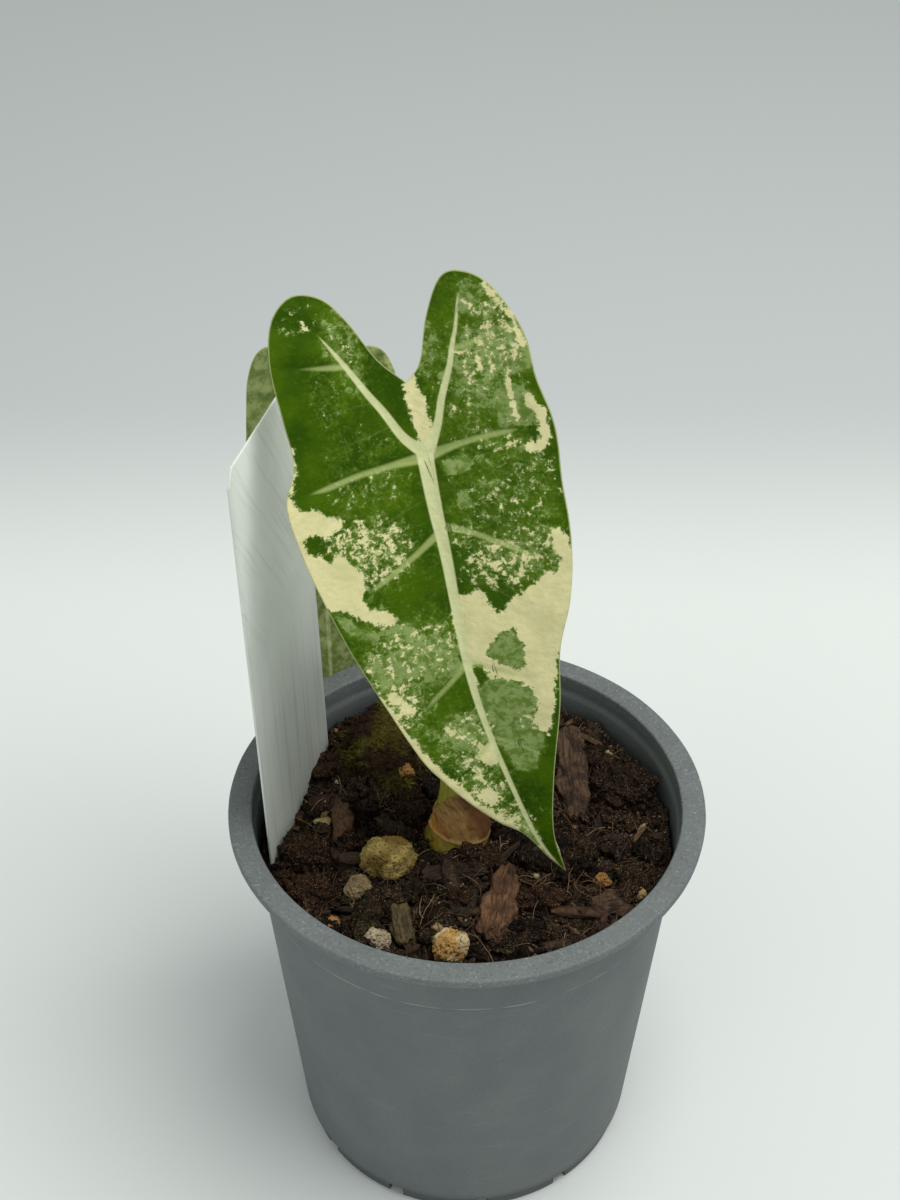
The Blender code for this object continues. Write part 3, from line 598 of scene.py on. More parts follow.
def leaf_material(name, under):
    """A variegated blade: crinkled cream and grey-green patches over green, with pale veins.

    The drawn fields come with the mesh, and noise breaks up the edges of their patches.
    """
    s = Shade(name, 0.48, 0.07)
    place = s.attribute("place", "Vector")
    drawn_pale = s.attribute("pale")

    def crinkled(field, broad, fine, amount):
        value = s.add(field, s.times(s.add(broad, -0.5), 5.4))
        return s.add(value, s.times(s.add(fine, -0.5), amount))

    mottle = s.noise(place, 1.1, 5.0, 0.7)
    green = s.mix(s.step(s.noise(place, 9.0, 3.0, 0.5), 0.35, 0.65), (44, 74, 0), (64, 94, 0))
    green = s.over(green, mottle, 0.52, 0.72, 0.55, (80, 110, 8))

    grains = s.noise(place, 0.7, 4.0, 0.7, shift=(3.0, 17.0, 0.0))
    pale_edge = crinkled(drawn_pale, s.noise(place, 2.4, 8.0, 0.72, 0.2, shift=(31.0, 7.0, 0.0)),
                         grains, 1.6)
    green = s.over(green, pale_edge, -1.0, -0.1, 0.45, (94, 122, 28))
    flecks = s.times(s.step(grains, 0.55, 0.68), s.step(drawn_pale, -1.9, -0.3))
    green = s.mix(s.times(flecks, 0.6), green, (100, 124, 50))
    pale_tone = s.noise(place, 2.0, 6.0, 0.65, shift=(5.0, 50.0, 0.0))
    pale = s.mix(s.step(pale_tone, 0.42, 0.56), (100, 124, 50), (136, 156, 92))
    pale = s.over(pale, mottle, 0.54, 0.7, 0.45, (180, 194, 134))
    colour = s.over(green, pale_edge, -0.12, 0.3, 0.92, pale)

    salt = s.noise(place, 0.75, 4.0, 0.7, shift=(13.0, 5.0, 0.0))
    cream_edge = crinkled(s.attribute("cream"), s.noise(place, 1.9, 8.0, 0.72, 0.25), salt, 2.2)
    colour = s.over(colour, cream_edge, -0.5, 0.0, 0.55, (136, 156, 92))
    cream = s.mix(s.step(s.noise(place, 5.0, 5.0, 0.6), 0.35, 0.7), (224, 217, 164),
                  (211, 206, 150))
    colour = s.mix(s.step(cream_edge, -0.1, 0.28), colour, cream)

    colour = s.over(colour, s.attribute("vein"), -0.5, 0.2, 0.66, (176, 190, 118))
    colour = s.over(colour, s.attribute("net"), -0.16, 0.1, 0.12, (168, 180, 112))
    rib_tone = s.mix(s.noise(place, 0.7, 3.0, scale=(1.0, 0.1, 1.0)), (196, 202, 140),
                     (222, 224, 176))
    colour = s.over(colour, s.attribute("rib"), -0.22, 0.18, 0.93, rib_tone)
    colour = s.over(colour, s.attribute("edge"), 0.3, 0.08, 0.65, (190, 196, 136))

    clouds = s.step(s.noise(place, 3.2, 6.0, 0.65), 0.4, 0.6)
    beneath = s.mix(0.66, colour, s.mix(clouds, under, (132, 148, 80)))
    colour = s.mix(s.attribute("under"), colour, beneath)

    puckers = s.times(s.noise(place, 2.6, 2.0, 0.5), 3.0)
    relief = s.add(s.add(s.times(s.noise(place, 0.32, 3.0, 0.6), 0.35), mottle), puckers)
    return s.finish(colour, s.map(mottle, 0.3, 0.7, 0.4, 0.54), relief, 0.12)


# The soil's surface -----------------------------------------------------------------

def soil_level(x, y):
    """The same broad surface as the part's soil."""
    back = min(1.0, max(0.0, y / SOIL_RADIUS))
    rise = SOIL_BACK_RISE * back * back * (3.0 - 2.0 * back)
    lumps = SOIL_LUMP_HEIGHT * noise.noise(Vector((x, y, 0.0)) / SOIL_LUMP_SPACING)
    return SOIL_TOP + rise + lumps


def soil_detail(x, y):
    """Clods and grains on top of it."""
    clods = abs(fractal((x, y, 0.013), 7.0 * MM, 3)) * 3.6 * MM - 1.1 * MM
    grains = fractal((x, y, 0.031), 1.7 * MM, 3, 0.6) * 0.75 * MM
    return clods + grains


def soil_surface(x, y):
    """The soil as it looks, with its clods."""
    return soil_level(x, y) + soil_detail(x, y)


GROUND = soil_level(CORM_CENTRE.x, CORM_CENTRE.y)


# The pot ----------------------------------------------------------------------------

def pot_profile():
    """Up the inside from the floor's middle, over the lip and down to the feet."""
    ledge = POT_HEIGHT - LEDGE_DEPTH
    inner = SHOULDER_FOOT_RADIUS - WALL
    profile = rounded([
        (0.0, FLOOR_TOP),
        (BASE_RADIUS - WALL, FLOOR_TOP, 2.0),
        (BODY_RADIUS - WALL, BODY_TOP + WALL / 2),
        (inner, SHOULDER_FOOT + WALL / 2, 1.0),
        (inner + 0.6 * MM, ledge - LEDGE_HEIGHT, 1.0),
        (BORE_RADIUS - 0.1 * MM, ledge, 1.0),
        (BORE_RADIUS, POT_HEIGHT, 1.2),
        (RIM_RADIUS, POT_HEIGHT, 1.2),
        (RIM_RADIUS, LIP_BOTTOM, 0.8),
        (SHOULDER_RADIUS, LIP_BOTTOM, 1.0),
        (SHOULDER_FOOT_RADIUS, SHOULDER_FOOT, 0.8),
        (BODY_RADIUS, BODY_TOP, 0.8),
        (BASE_RADIUS, FOOT_HEIGHT + 0.4 * MM, 1.0),
        (FOOT_RADIUS, FOOT_HEIGHT, 0.5),
        (FOOT_RADIUS, 0.0, 0.4),
        (FOOT_RADIUS - FOOT_WIDTH, 0.0, 0.4),
        (FOOT_RADIUS - FOOT_WIDTH, FLOOR_BOTTOM, 0.5),
        (0.0, FLOOR_BOTTOM),
    ], 0.5 * MM)
    dense = [profile[0]]
    for (r0, z0), (r1, z1) in zip(profile, profile[1:]):
        parts = max(1, round(math.hypot(r1 - r0, z1 - z0) / (6.0 * MM)))
        dense += [(r0 + (r1 - r0) * i / parts, z0 + (z1 - z0) * i / parts)
                  for i in range(1, parts + 1)]
    return dense


def foot_cutter(material):
    """The gaps between the feet, and a drain hole in line with every second gap."""
    shape = bmesh.new()
    for i in range(FOOT_COUNT):
        turn = Matrix.Rotation(FOOT_FIRST_GAP + i * math.tau / FOOT_COUNT, 4, "Z")
        size = Matrix.Diagonal((FOOT_WIDTH + 3.0 * MM, FOOT_GAP, 2 * FLOOR_BOTTOM + 1.0 * MM, 1))
        middle = Matrix.Translation((FOOT_RADIUS - FOOT_WIDTH / 2, 0.0, 0.0))
        bmesh.ops.create_cube(shape, size=1.0, matrix=turn @ middle @ size)
        if i % 2 == 0:
            hole = turn @ Matrix.Translation((DRAIN_CIRCLE, 0.0, 0.0))
            bmesh.ops.create_cone(shape, cap_ends=True, segments=32, depth=4 * FLOOR_TOP,
                                  radius1=DRAIN_RADIUS, radius2=DRAIN_RADIUS, matrix=hole)
    return from_shape("cutter", shape, material)


def make_pot(material):
    vertices, faces = lathe(pot_profile(), POT_STEPS)
    whole = new_piece("pot_shell", [pot_unevenness(Vector(v)) for v in vertices], faces, material)
    outward(whole.data)
    cutter = foot_cutter(material)
    boolean = whole.modifiers.new("Gaps and drains", "BOOLEAN")
    boolean.operation = "DIFFERENCE"
    boolean.solver = "EXACT"
    boolean.object = cutter
    bpy.context.view_layer.update()
    cut = whole.evaluated_get(bpy.context.evaluated_depsgraph_get())
    mesh = bpy.data.meshes.new_from_object(cut)
    bpy.data.objects.remove(whole)
    bpy.data.objects.remove(cutter)
    pot = new_object("pot_shell", mesh, material)
    mesh.set_sharp_from_angle(angle=math.radians(48.0))
    set_attribute(pot, "inside", [pot_inner_shade(v.co) for v in mesh.vertices])
    place_piece(pot, "pot_plastic", "pot")


def pot_inner_shade(point):
    """1 on the wall inside the lip, which is painted in shade, and 0 outside."""
    if point.z > POT_HEIGHT - 1.2 * MM or point.z < FOOT_HEIGHT + 0.5 * MM:
        return 0.0
    share = (point.z - FOOT_HEIGHT) / (BODY_TOP - FOOT_HEIGHT)
    outer = BASE_RADIUS + (BODY_RADIUS - BASE_RADIUS) * share
    if point.z > BODY_TOP:
        outer = SHOULDER_FOOT_RADIUS
    radius = math.hypot(point.x, point.y)
    return 1.0 if radius < min(outer - WALL / 2, BORE_RADIUS + 0.05 * MM) else 0.0


def pot_unevenness(point):
    """Moulded plastic is never quite true: the lip ripples a little, always inwards."""
    radius = math.hypot(point.x, point.y)
    if radius < BORE_RADIUS - 2 * MM or point.z < LIP_BOTTOM - 1.0 * MM:
        return point
    wobble = (0.5 + 0.5 * noise.noise(point / (7.0 * MM))) * 0.10 * MM
    wobble += (0.5 + 0.5 * noise.noise(point / (1.6 * MM))) * 0.05 * MM
    point.x *= 1.0 - wobble / radius
    point.y *= 1.0 - wobble / radius
    if point.z < LIP_BOTTOM + 0.4 * MM:
        point.z += 0.16 * MM * noise.noise(point / (1.3 * MM))
    return point


# The soil ---------------------------------------------------------------------------

def make_soil(material):
    angles = np.arange(SOIL_SPOKES) * math.tau / SOIL_SPOKES
    vertices = [(0.0, 0.0, soil_surface(0.0, 0.0))]
    for j in range(1, SOIL_RINGS + 1):
        radius = SOIL_RADIUS * j / SOIL_RINGS
        for angle in angles:
            x, y = radius * math.cos(angle), radius * math.sin(angle)
            vertices.append((x, y, soil_surface(x, y)))
    side = [(SOIL_RADIUS, SHOULDER_FOOT), (BODY_RADIUS - WALL - 0.3 * MM, BODY_TOP),
            (BASE_RADIUS - WALL - 0.8 * MM, FLOOR_TOP + 0.6 * MM)]
    for radius, z in side:
        vertices += [(radius * math.cos(a), radius * math.sin(a), z) for a in angles]
    bands = SOIL_RINGS + len(side) - 1
    last = 1 + bands * SOIL_SPOKES
    faces = disc_faces(bands, SOIL_SPOKES)
    faces.append(tuple(range(last, last + SOIL_SPOKES))[::-1])
    soil = new_piece("soil_body", vertices, faces, material)
    set_attribute(soil, "tint", [(1.0, 1.0, 1.0, 1.0)] * len(vertices))
    place_piece(soil, "peat_mix", "soil")


def ball_template(detail):
    """Vertices and faces of a ball of radius 1."""
    shape = bmesh.new()
    bmesh.ops.create_icosphere(shape, subdivisions=detail, radius=1.0)
    shape.verts.ensure_lookup_table()
    vertices = [v.co.copy() for v in shape.verts]
    faces = [tuple(v.index for v in face.verts) for face in shape.faces]
    shape.free()
    return vertices, faces


def broken(directions, rng, planes, low, high):
    """Reach in each direction of a lump that is broken off along random planes."""
    normals = np.array([[rng.gauss(0, 1) for _ in range(3)] for _ in range(planes)])
    normals /= np.linalg.norm(normals, axis=1)[:, None]
    limits = np.array([rng.uniform(low, high) for _ in range(planes)])
    dots = directions @ normals.T
    reach = np.where(dots > 0.05, limits / np.maximum(dots, 0.05), 9.0)
    return np.minimum(reach.min(axis=1), 1.0)


def clod_shapes(seed, count, detail, planes, rough):
    """Crumbly angular lumps of about unit radius."""
    rng = random.Random(seed)
    ball, faces = ball_template(detail)
    directions = np.array(ball)
    shapes = []
    for i in range(count):
        reach = broken(directions, rng, planes, 0.5, 0.9)
        shift = Vector((i * 7.7, seed * 1.3, 0.0))
        bumps = np.array([fractal(d + shift, 0.7, 4, 0.65) for d in ball])
        stretch = np.array([rng.uniform(0.85, 1.4), rng.uniform(0.7, 1.1), rng.uniform(0.5, 0.9)])
        shapes.append((directions * (reach * (1.0 + rough * bumps))[:, None] * stretch,
                       directions * 2.0))
    return shapes, faces


def sliver_shapes(seed, count):
    """Flat woody splinters lying along X, of half length 1, with ragged ends."""
    rng = random.Random(seed)
    sections, sides = 18, 20
    shapes = []
    for i in range(count):
        wide, thick = rng.uniform(0.16, 0.42), rng.uniform(0.06, 0.15)
        bend = rng.uniform(-0.1, 0.1)
        points, grains = [], []
        for j in range(sections + 1):
            along = 2.0 * j / sections - 1.0
            taper = (1.0 - 0.55 * abs(along) ** 5) * (1.0 + 0.2 * noise.noise(
                Vector((along * 1.7, i * 5.1, 0.0))))
            for k in range(sides):
                angle = math.tau * k / sides
                c, d = math.cos(angle), math.sin(angle)
                ridge = 1.0 + 0.5 * noise.noise(Vector((along * 1.1, angle * 3.0, i * 3.3)))
                y = wide * taper * math.copysign(abs(c) ** 0.4, c) * (0.6 + 0.4 * ridge)
                z = thick * taper * math.copysign(abs(d) ** 0.4, d) * ridge
                end = 0.3 * noise.noise(Vector((y * 9.0, z * 9.0, i + along)))
                points.append((along + (end if abs(along) > 0.8 else 0.0),
                               y + bend * along * along, z))
                grains.append((along * 3.0, angle * 0.8, i * 2.0))
        shapes.append((np.array(points), np.array(grains)))
    return shapes, tube_faces(sections, sides)


def open_ground(x, y, size):
    """Whether a crumb of that size would lie clear of the corm and the larger pieces."""
    if math.hypot(x - CORM_CENTRE.x, y) < CORM_RADIUS + 0.3 * size:
        return False
    for low, high in LARGE_PIECES:
        middle, half = (low + high) / 2, (high - low) / 2
        if ((x - middle.x) / (half.x + 0.1 * size)) ** 2 + (
                (y - middle.y) / (half.y + 0.1 * size)) ** 2 < 0.8:
            return False
    return True


def scattered(name, material, slot, seed, count, sizes, tints, template, lift):
    """Many small lumps in one mesh, lying on the soil."""
    rng = random.Random(seed)
    shapes, shape_faces = template
    tilt = 0.6
    heap, grains = Heap(), []
    for _ in range(count):
        radius = SOIL_RADIUS * 0.98 * math.sqrt(rng.random())
        angle = rng.random() * math.tau
        x, y = radius * math.cos(angle), radius * math.sin(angle)
        size = sizes[0] + (sizes[1] - sizes[0]) * rng.random() ** 2.0
        size = min(size, (SOIL_RADIUS + 0.2 * MM - radius) / 1.2)
        shape, grain = rng.choice(shapes)
        spin = (Matrix.Rotation(rng.random() * math.tau, 3, "Z")
                @ Matrix.Rotation(rng.uniform(-tilt, tilt), 3, "Y")
                @ Matrix.Rotation(rng.uniform(-tilt, tilt), 3, "X"))
        tint = srgb(*rng.choice(tints))
        if size < sizes[0] * 0.5 or not open_ground(x, y, size):
            continue
        centre = np.array((x, y, soil_surface(x, y) + lift * size))
        heap.add(centre + shape @ np.array(spin).T * size, shape_faces, tint)
        grains.append(grain * size / MM + rng.random() * 40.0)
    set_attribute(heap.finish(name, material, slot), "grain", np.vstack(grains))


def make_fibres(material):
    """Fine roots and peat fibres lying over the soil."""
    rng = random.Random(23)
    heap = Heap()
    tints = [(122, 92, 62), (78, 56, 38), (168, 140, 106), (50, 36, 24), (98, 68, 44)]
    for _ in range(FIBRE_COUNT):
        radius = (SOIL_RADIUS - 2.0 * MM) * math.sqrt(rng.random())
        angle = rng.random() * math.tau
        here = Vector((radius * math.cos(angle), radius * math.sin(angle)))
        heading = rng.random() * math.tau
        bend = rng.uniform(-0.5, 0.5)
        length = rng.uniform(2.0, 13.0) * MM
        arch = rng.uniform(0.2, 2.2) * MM
        steps = 12
        points = []
        for i in range(steps + 1):
            t = i / steps
            z = soil_surface(here.x, here.y) if i in (0, steps) else soil_level(here.x, here.y)
            points.append(Vector((here.x, here.y, z + 0.25 * MM + arch * 4 * t * (1 - t))))
            heading += bend * 0.35 + rng.uniform(-0.25, 0.25)
            ahead = Vector((math.cos(heading), math.sin(heading))) * length / steps
            if (here + ahead).length < SOIL_RADIUS - 1.0 * MM:
                here += ahead
        thick = rng.uniform(0.05, 0.17) * MM
        radii = [thick * (1.0 - 0.6 * i / steps) for i in range(steps + 1)]
        corners, sides, _ = tube(points, radii, sides=5)
        heap.add(corners, sides, srgb(*rng.choice(tints)))
    heap.finish("soil_fibres", material, "peat_mix")


# Pieces lying on the soil -----------------------------------------------------------

def dense_copy(node, edge):
    """The CAD node's mesh as a BMesh, subdivided until its edges are about that long."""
    shape = bmesh.new()
    shape.from_mesh(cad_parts[node].data)
    bmesh.ops.remove_doubles(shape, verts=shape.verts, dist=0.001 * MM)
    for _ in range(5):
        mean = sum(e.calc_length() for e in shape.edges) / len(shape.edges)
        if mean < edge:
            break
        bmesh.ops.subdivide_edges(shape, edges=shape.edges, cuts=1, use_grid_fill=True,
                                  smooth=0.6)
        bmesh.ops.triangulate(shape, faces=shape.faces)
    shape.normal_update()
    return shape


def long_axes(points):
    """Centre and main directions of a cloud of points, longest first."""
    centre = points.mean(0)
    _, _, axes = np.linalg.svd(points - centre, full_matrices=False)
    return Vector(centre), [Vector(a) for a in axes]


def make_stone(node, tint, seed, pits=0.14, facets=12, rough=0.17, second=None):
    """A pumice stone: the CAD stone with broken faces, lumps and open pores."""
    low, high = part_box(node)
    half = (high - low) / 2
    size = min(half)
    centre = (low + high) / 2
    shape = dense_copy(node, max(0.15 * MM, half.length / 32))
    locals_ = [v.co - centre for v in shape.verts]
    scaled = np.array([[l.x / half.x, l.y / half.y, l.z / half.z] for l in locals_])
    reach = np.linalg.norm(scaled, axis=1)
    directions = scaled / np.maximum(reach, 1e-6)[:, None]
    cut = broken(directions, random.Random(seed), facets, 0.62, 0.98)
    shift = Vector((seed * 3.1, seed * 1.7, 0.0))
    first, other = tone(tint), tone(second or tint)
    tints, moved = [], []
    for local, full, limit in zip(locals_, reach, cut):
        local = local * min(1.0, limit / full)
        place = local / (size * 1.6)
        lump = fractal(place + shift, 0.55, 5, 0.62) * rough
        cell = noise.voronoi((local / (1.0 * MM)) + shift)[0]
        pore = pits * max(0.0, 1.0 - (cell[0] / 0.45) ** 2) * min(1.0, 2.4 * MM / size)
        moved.append(centre + local * (0.97 + lump - pore))
        blend = float(smooth_step(-0.1, 0.25, noise.noise((place + shift) * 1.6)))
        tints.append([*first.lerp(other, blend), 1.0])
    piece = from_shape(node + "_stone", shape, MATERIALS["pumice"], moved)
    set_attribute(piece, "tint", tints)
    place_piece(piece, "pumice", node)


def make_chip(node, tint, seed, ridge=0.2, taper=0.0, light=None):
    """A bark chip: ridged along its length, with broken ends."""
    shape = dense_copy(node, 0.24 * MM)
    cloud = np.array([v.co for v in shape.verts])
    centre, (along, across, up) = long_axes(cloud)
    half = max(abs((Vector(p) - centre).dot(along)) for p in cloud)
    shift = Vector((seed * 2.3, seed, 0.0))
    grains, tints, moved = [], [], []
    base, pale = tone(tint), tone(light or tint)
    for vertex in shape.verts:
        local = vertex.co - centre
        place = Vector((local.dot(along), local.dot(across), local.dot(up)))
        lines = fractal((place.x * 0.22, place.y, place.z), 1.5 * MM, 4, 0.6)
        chunk = fractal(place + shift, 4.5 * MM, 2)
        share = place.x / half
        narrow = 1.0 - taper * max(0.0, share) ** 1.5
        ends = 1.0 + 0.12 * fractal((place.y * 2.0, place.z * 2.0, seed), 2.2 * MM, 2)
        side = across * place.y * narrow + up * place.z
        swell = 1.0 + ridge * lines + 0.22 * chunk
        moved.append(centre + along * place.x * ends + side * swell)
        grains.append(place / MM + shift * 5.0)
        tints.append([*base.lerp(pale, float(smooth_step(0.0, 0.5, chunk + 0.25))), 1.0])
    piece = from_shape(node + "_chip", shape, MATERIALS["bark"], moved)
    set_attribute(piece, "grain", grains)
    set_attribute(piece, "tint", tints)
    place_piece(piece, "bark", node)


def make_lump(node, tint, seed):
    """A crumbly clod of peat."""
    low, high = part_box(node)
    centre, size = (low + high) / 2, (high - low).length / 2
    shape = dense_copy(node, 0.3 * MM)
    shift = Vector((seed * 5.3, seed, 0.0))
    for vertex in shape.verts:
        local = vertex.co - centre
        lumps = abs(fractal(local / size + shift, 0.42, 4, 0.62))
        vertex.co = centre + local * (0.9 + 0.42 * lumps)
    piece = from_shape(node + "_clod", shape, MATERIALS["peat_mix"])
    set_attribute(piece, "tint", [srgb(*tint)] * len(piece.data.vertices))
    place_piece(piece, "peat_mix", node)


def make_moss(material):
    """The mossy mound, with short strands standing out all over it."""
    shape = dense_copy("moss_cushion", 0.4 * MM)
    low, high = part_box("moss_cushion")
    centre = (low + high) / 2
    for vertex in shape.verts:
        local = vertex.co - centre
        clumps = abs(fractal(vertex.co, 5.0 * MM, 4, 0.6))
        vertex.co = centre + local * (0.9 + 0.3 * clumps)
    shape.normal_update()
    ground = [(v.co.copy(), v.normal.copy()) for v in shape.verts
              if v.co.z > soil_level(v.co.x, v.co.y) - 0.5 * MM]
    mound = from_shape("moss_mound", shape, material)
    base_tints = []
    brown, olive, light = tone((70, 48, 30)), tone((96, 88, 26)), tone((150, 140, 50))
    for v in mound.data.vertices:
        share = float(smooth_step(-0.25, 0.3, fractal(v.co, 7.0 * MM, 3)))
        base_tints.append([*brown.lerp(olive, share), 1.0])
    set_attribute(mound, "tint", base_tints)
    place_piece(mound, "moss", "moss_cushion")

    rng = random.Random(41)
    strands = Heap()
    for _ in range(STRAND_COUNT):
        root, normal = rng.choice(ground)
        lean = Vector((rng.gauss(0, 1), rng.gauss(0, 1), rng.gauss(0, 0.5))) * 0.8
        direction = (normal + lean).normalized()
        length = rng.uniform(0.7, 2.8) * MM
        droop = Vector((0, 0, -1)) * rng.uniform(0.0, 0.5) * length
        points = [root - normal * 0.2 * MM + direction * length * t + droop * t * t
                  for t in (0.0, 0.35, 0.7, 1.0)]
        thick = rng.uniform(0.07, 0.15) * MM
        corners, sides, _ = tube(points, [thick, thick * 1.2, thick * 0.8, thick * 0.25], sides=4)
        share = float(smooth_step(-0.2, 0.3, fractal(root, 7.0 * MM, 3))) * rng.uniform(0.6, 1.2)
        strands.add(corners, sides, [*brown.lerp(light, min(1.0, share * 0.85)), 1.0])
    strands.finish("moss_strands", material, "moss")


# The corm, its scale and the petioles -----------------------------------------------

def corm_radius(height):
    """The corm's radius at a height above the soil, or below it where that is negative."""
    if height < 0.0:
        return CORM_RADIUS * math.sqrt(max(0.0, 1.0 - (height / CORM_BURIED) ** 2))
    share = min(1.0, height / CORM_HEIGHT)
    return CORM_RADIUS + (CORM_TOP_RADIUS - CORM_RADIUS) * share ** 0.85


def make_corm(material):
    heights = [CORM_HEIGHT * i / 40 for i in range(40, 0, -1)]
    heights += [-CORM_BURIED * math.sin(math.radians(a)) for a in range(0, 88, 6)]
    profile = [(0.0, CORM_HEIGHT)] + [(corm_radius(h), h) for h in heights]
    profile.append((0.0, -CORM_BURIED))
    vertices, faces = lathe(profile, 120)
    placed, values = [], []
    for x, y, z in vertices:
        radius = math.hypot(x, y)
        rings = 0.10 * MM * math.sin(z / (0.55 * MM) + 1.5 * noise.noise(Vector((x, y, z)) * 200))
        bump = 0.45 * MM * fractal((x, y, z), 3.4 * MM, 3) + rings
        factor = 1.0 + bump / radius if radius > 1.0 * MM else 1.0
        placed.append(CORM_CENTRE + Vector((x * factor, y * factor, GROUND + z)))
        values.append(z / MM)
    corm = new_piece("corm_body", placed, faces, material)
    outward(corm.data)
    set_attribute(corm, "height", values)
    place_piece(corm, "corm_skin", "corm")


def make_scale(material):
    """The dry scale round the corm's front: fine threads that run together at its top."""
    columns, rows, thickness = 150, 56, 0.3 * MM
    outer, inner, fibres, rims = [], [], [], []
    start, end = math.radians(-165.0), math.radians(25.0)
    for j in range(rows + 1):
        t = j / rows
        for i in range(columns + 1):
            share = i / columns
            angle = start + (end - start) * share
            low = (6.4 - 5.6 * share) * MM
            high = (9.6 + 7.0 * math.sin(math.pi * share ** 0.9)) * MM
            ragged = 0.5 * MM * fractal((share * 6.0, t, 0.0), 0.35, 3) * t ** 6
            height = low + (high - low) * t + ragged
            gather = (share - 0.52) * (1.0 - 0.55 * t)
            thread = math.cos(gather * 230.0 + 3.0 * noise.noise(Vector((gather * 30, t, 0))))
            swell = 0.45 * MM * math.sin(math.pi * t) * math.sin(math.pi * share)
            curl = 0.55 * MM * (1.0 - smooth_step(0.0, 0.1, t)) * (1.0 - share)
            fold = 0.9 * MM * float(smooth_step(0.9, 0.97, share)) * (1.0 - t)
            ripple = 0.35 * MM * fractal((share * 5.0, t * 1.5, 2.0), 1.0, 3)
            radius = (corm_radius(height) + 0.65 * MM + 0.03 * MM * thread + swell + curl
                      + fold + ripple)
            direction = Vector((math.cos(angle), math.sin(angle), 0.0))
            base = CORM_CENTRE + Vector((0.0, 0.0, GROUND + height))
            outer.append(base + direction * radius)
            inner.append(base + direction * (radius - thickness))
            across = gather * 24.0
            fibres.append((across + 0.4 * height / MM, height / MM, 0.0))
            rims.append(max(1.0 - t * 14.0, 1.0 - share * 26.0, 0.0))
    width, count = columns + 1, len(outer)
    faces = []
    for j in range(rows):
        for i in range(columns):
            a = j * width + i
            faces.append((a, a + 1, a + width + 1, a + width))
            faces.append((count + a, count + a + width, count + a + width + 1, count + a + 1))
    edge = ([i for i in range(columns)] + [j * width + columns for j in range(rows)]
            + [rows * width + i for i in range(columns, 0, -1)]
            + [j * width for j in range(rows, 0, -1)])
    for a, b in zip(edge, edge[1:] + edge[:1]):
        faces.append((a, a + count, b + count, b))
    scale = new_piece("dry_scale_shell", outer + inner, faces, material)
    outward(scale.data)
    set_attribute(scale, "fibre", fibres * 2)
    set_attribute(scale, "rim", rims * 2)
    place_piece(scale, "dry_scale", "corm_sheath")


def make_stalk(name, node, route, radii, flare, material):
    """A petiole along a smooth curve: ribbed a little, and wider where it leaves the corm."""
    run = evenly_spaced(smooth_run([tuple(p) for p in route], 20), 110)
    run = [Vector(p) for p in run] + [Vector(route[-1])]
    sides = 40
    widths = []
    for i in range(len(run)):
        share = i / (len(run) - 1)
        width = radii[0] + (radii[1] - radii[0]) * share ** 0.7
        widths.append(width * (1.0 + flare * max(0.0, 1.0 - share * 9.0) ** 2))
    vertices, faces, places = tube(run, widths, sides)
    ribbed = []
    for k, vertex in enumerate(vertices):
        middle = run[k // sides]
        angle = math.tau * (k % sides) / sides
        rib = 1.0 + 0.018 * math.cos(11 * angle) + 0.02 * noise.noise(vertex / (2.5 * MM))
        ribbed.append(middle + (vertex - middle) * rib)
    stalk = new_piece(name, ribbed, faces, material)
    set_attribute(stalk, "along", [(x * w / MM, y * w / MM, z / MM) for (x, y, z), w in
                                 zip(places, [widths[k // sides] for k in range(len(places))])])
    place_piece(stalk, "petiole", node)


# The leaves -------------------------------------------------------------------------

# The same outline as the part's, from the notch round each side to the tip, at the front leaf's
# size
LEFT_SIDE = [
    (0.2, -13.8), (-3.7, -19.5), (-6.9, -27.9), (-10.2, -33.4), (-15.3, -35.6), (-20.1, -32.5),
    (-22.9, -25.1), (-23.8, -14.7), (-24.5, -6.0), (-28.2, 0.8), (-28.5, 9.9), (-27.6, 19.8),
    (-25.7, 32.9), (-23.0, 45.9), (-19.9, 59.9), (-17.0, 67.1), (-13.6, 74.0), (-9.7, 80.3),
    (-5.6, 85.5), (-2.7, 93.0), (-0.1, 98.65),
]
RIGHT_SIDE = [
    (-0.1, 98.65), (0.3, 87.3), (4.1, 73.1), (10.0, 56.3), (13.4, 44.0), (18.4, 33.5),
    (21.6, 22.7), (23.3, 10.6), (24.9, 0.5), (24.1, -9.0), (24.3, -16.7), (22.2, -24.3),
    (18.3, -29.9), (12.7, -31.3), (7.8, -25.4), (3.7, -16.8), (0.2, -13.8),
]
BACK_FULLNESS = 0.85
BACK_RIGHT_SIDE = ([(-u * BACK_FULLNESS, v) for u, v in reversed(LEFT_SIDE) if v > 9.0]
                   + [(u, v) for u, v in RIGHT_SIDE if v < 5.0])

# Veins as (across, down, half width), from the petiole outwards. A half width below 0 makes the
# vein fade out before its end.
RIBS = [
    [(-0.5, -0.5, 1.6), (-1.7, 10, 1.35), (-2.5, 20, 1.1), (-3.7, 30, 0.95), (-4.9, 40, 0.85),
     (-5.6, 50, 0.7), (-5.5, 60, 0.56), (-4.9, 70, 0.48), (-4.2, 80, 0.42), (-3.3, 88, 0.34),
     (-1.6, 95, 0.22), (-0.1, 98.6, 0.08)],
    [(-0.9, -0.5, 1.2), (-3.5, -4.1, 0.85), (-5.6, -9.9, 0.7), (-7.4, -14.1, 0.6),
     (-9.6, -19.9, 0.45), (-11.7, -24.9, 0.2), (-13.5, -29.1, -0.25)],
    [(0.6, -0.6, 1.2), (3.6, -4.9, 0.75), (5.8, -9.5, 0.65), (9, -14.9, 0.52),
     (10.4, -18.1, 0.42), (12.2, -21.6, 0.3), (14, -26.3, 0.12), (15.4, -29.5, -0.2)],
]
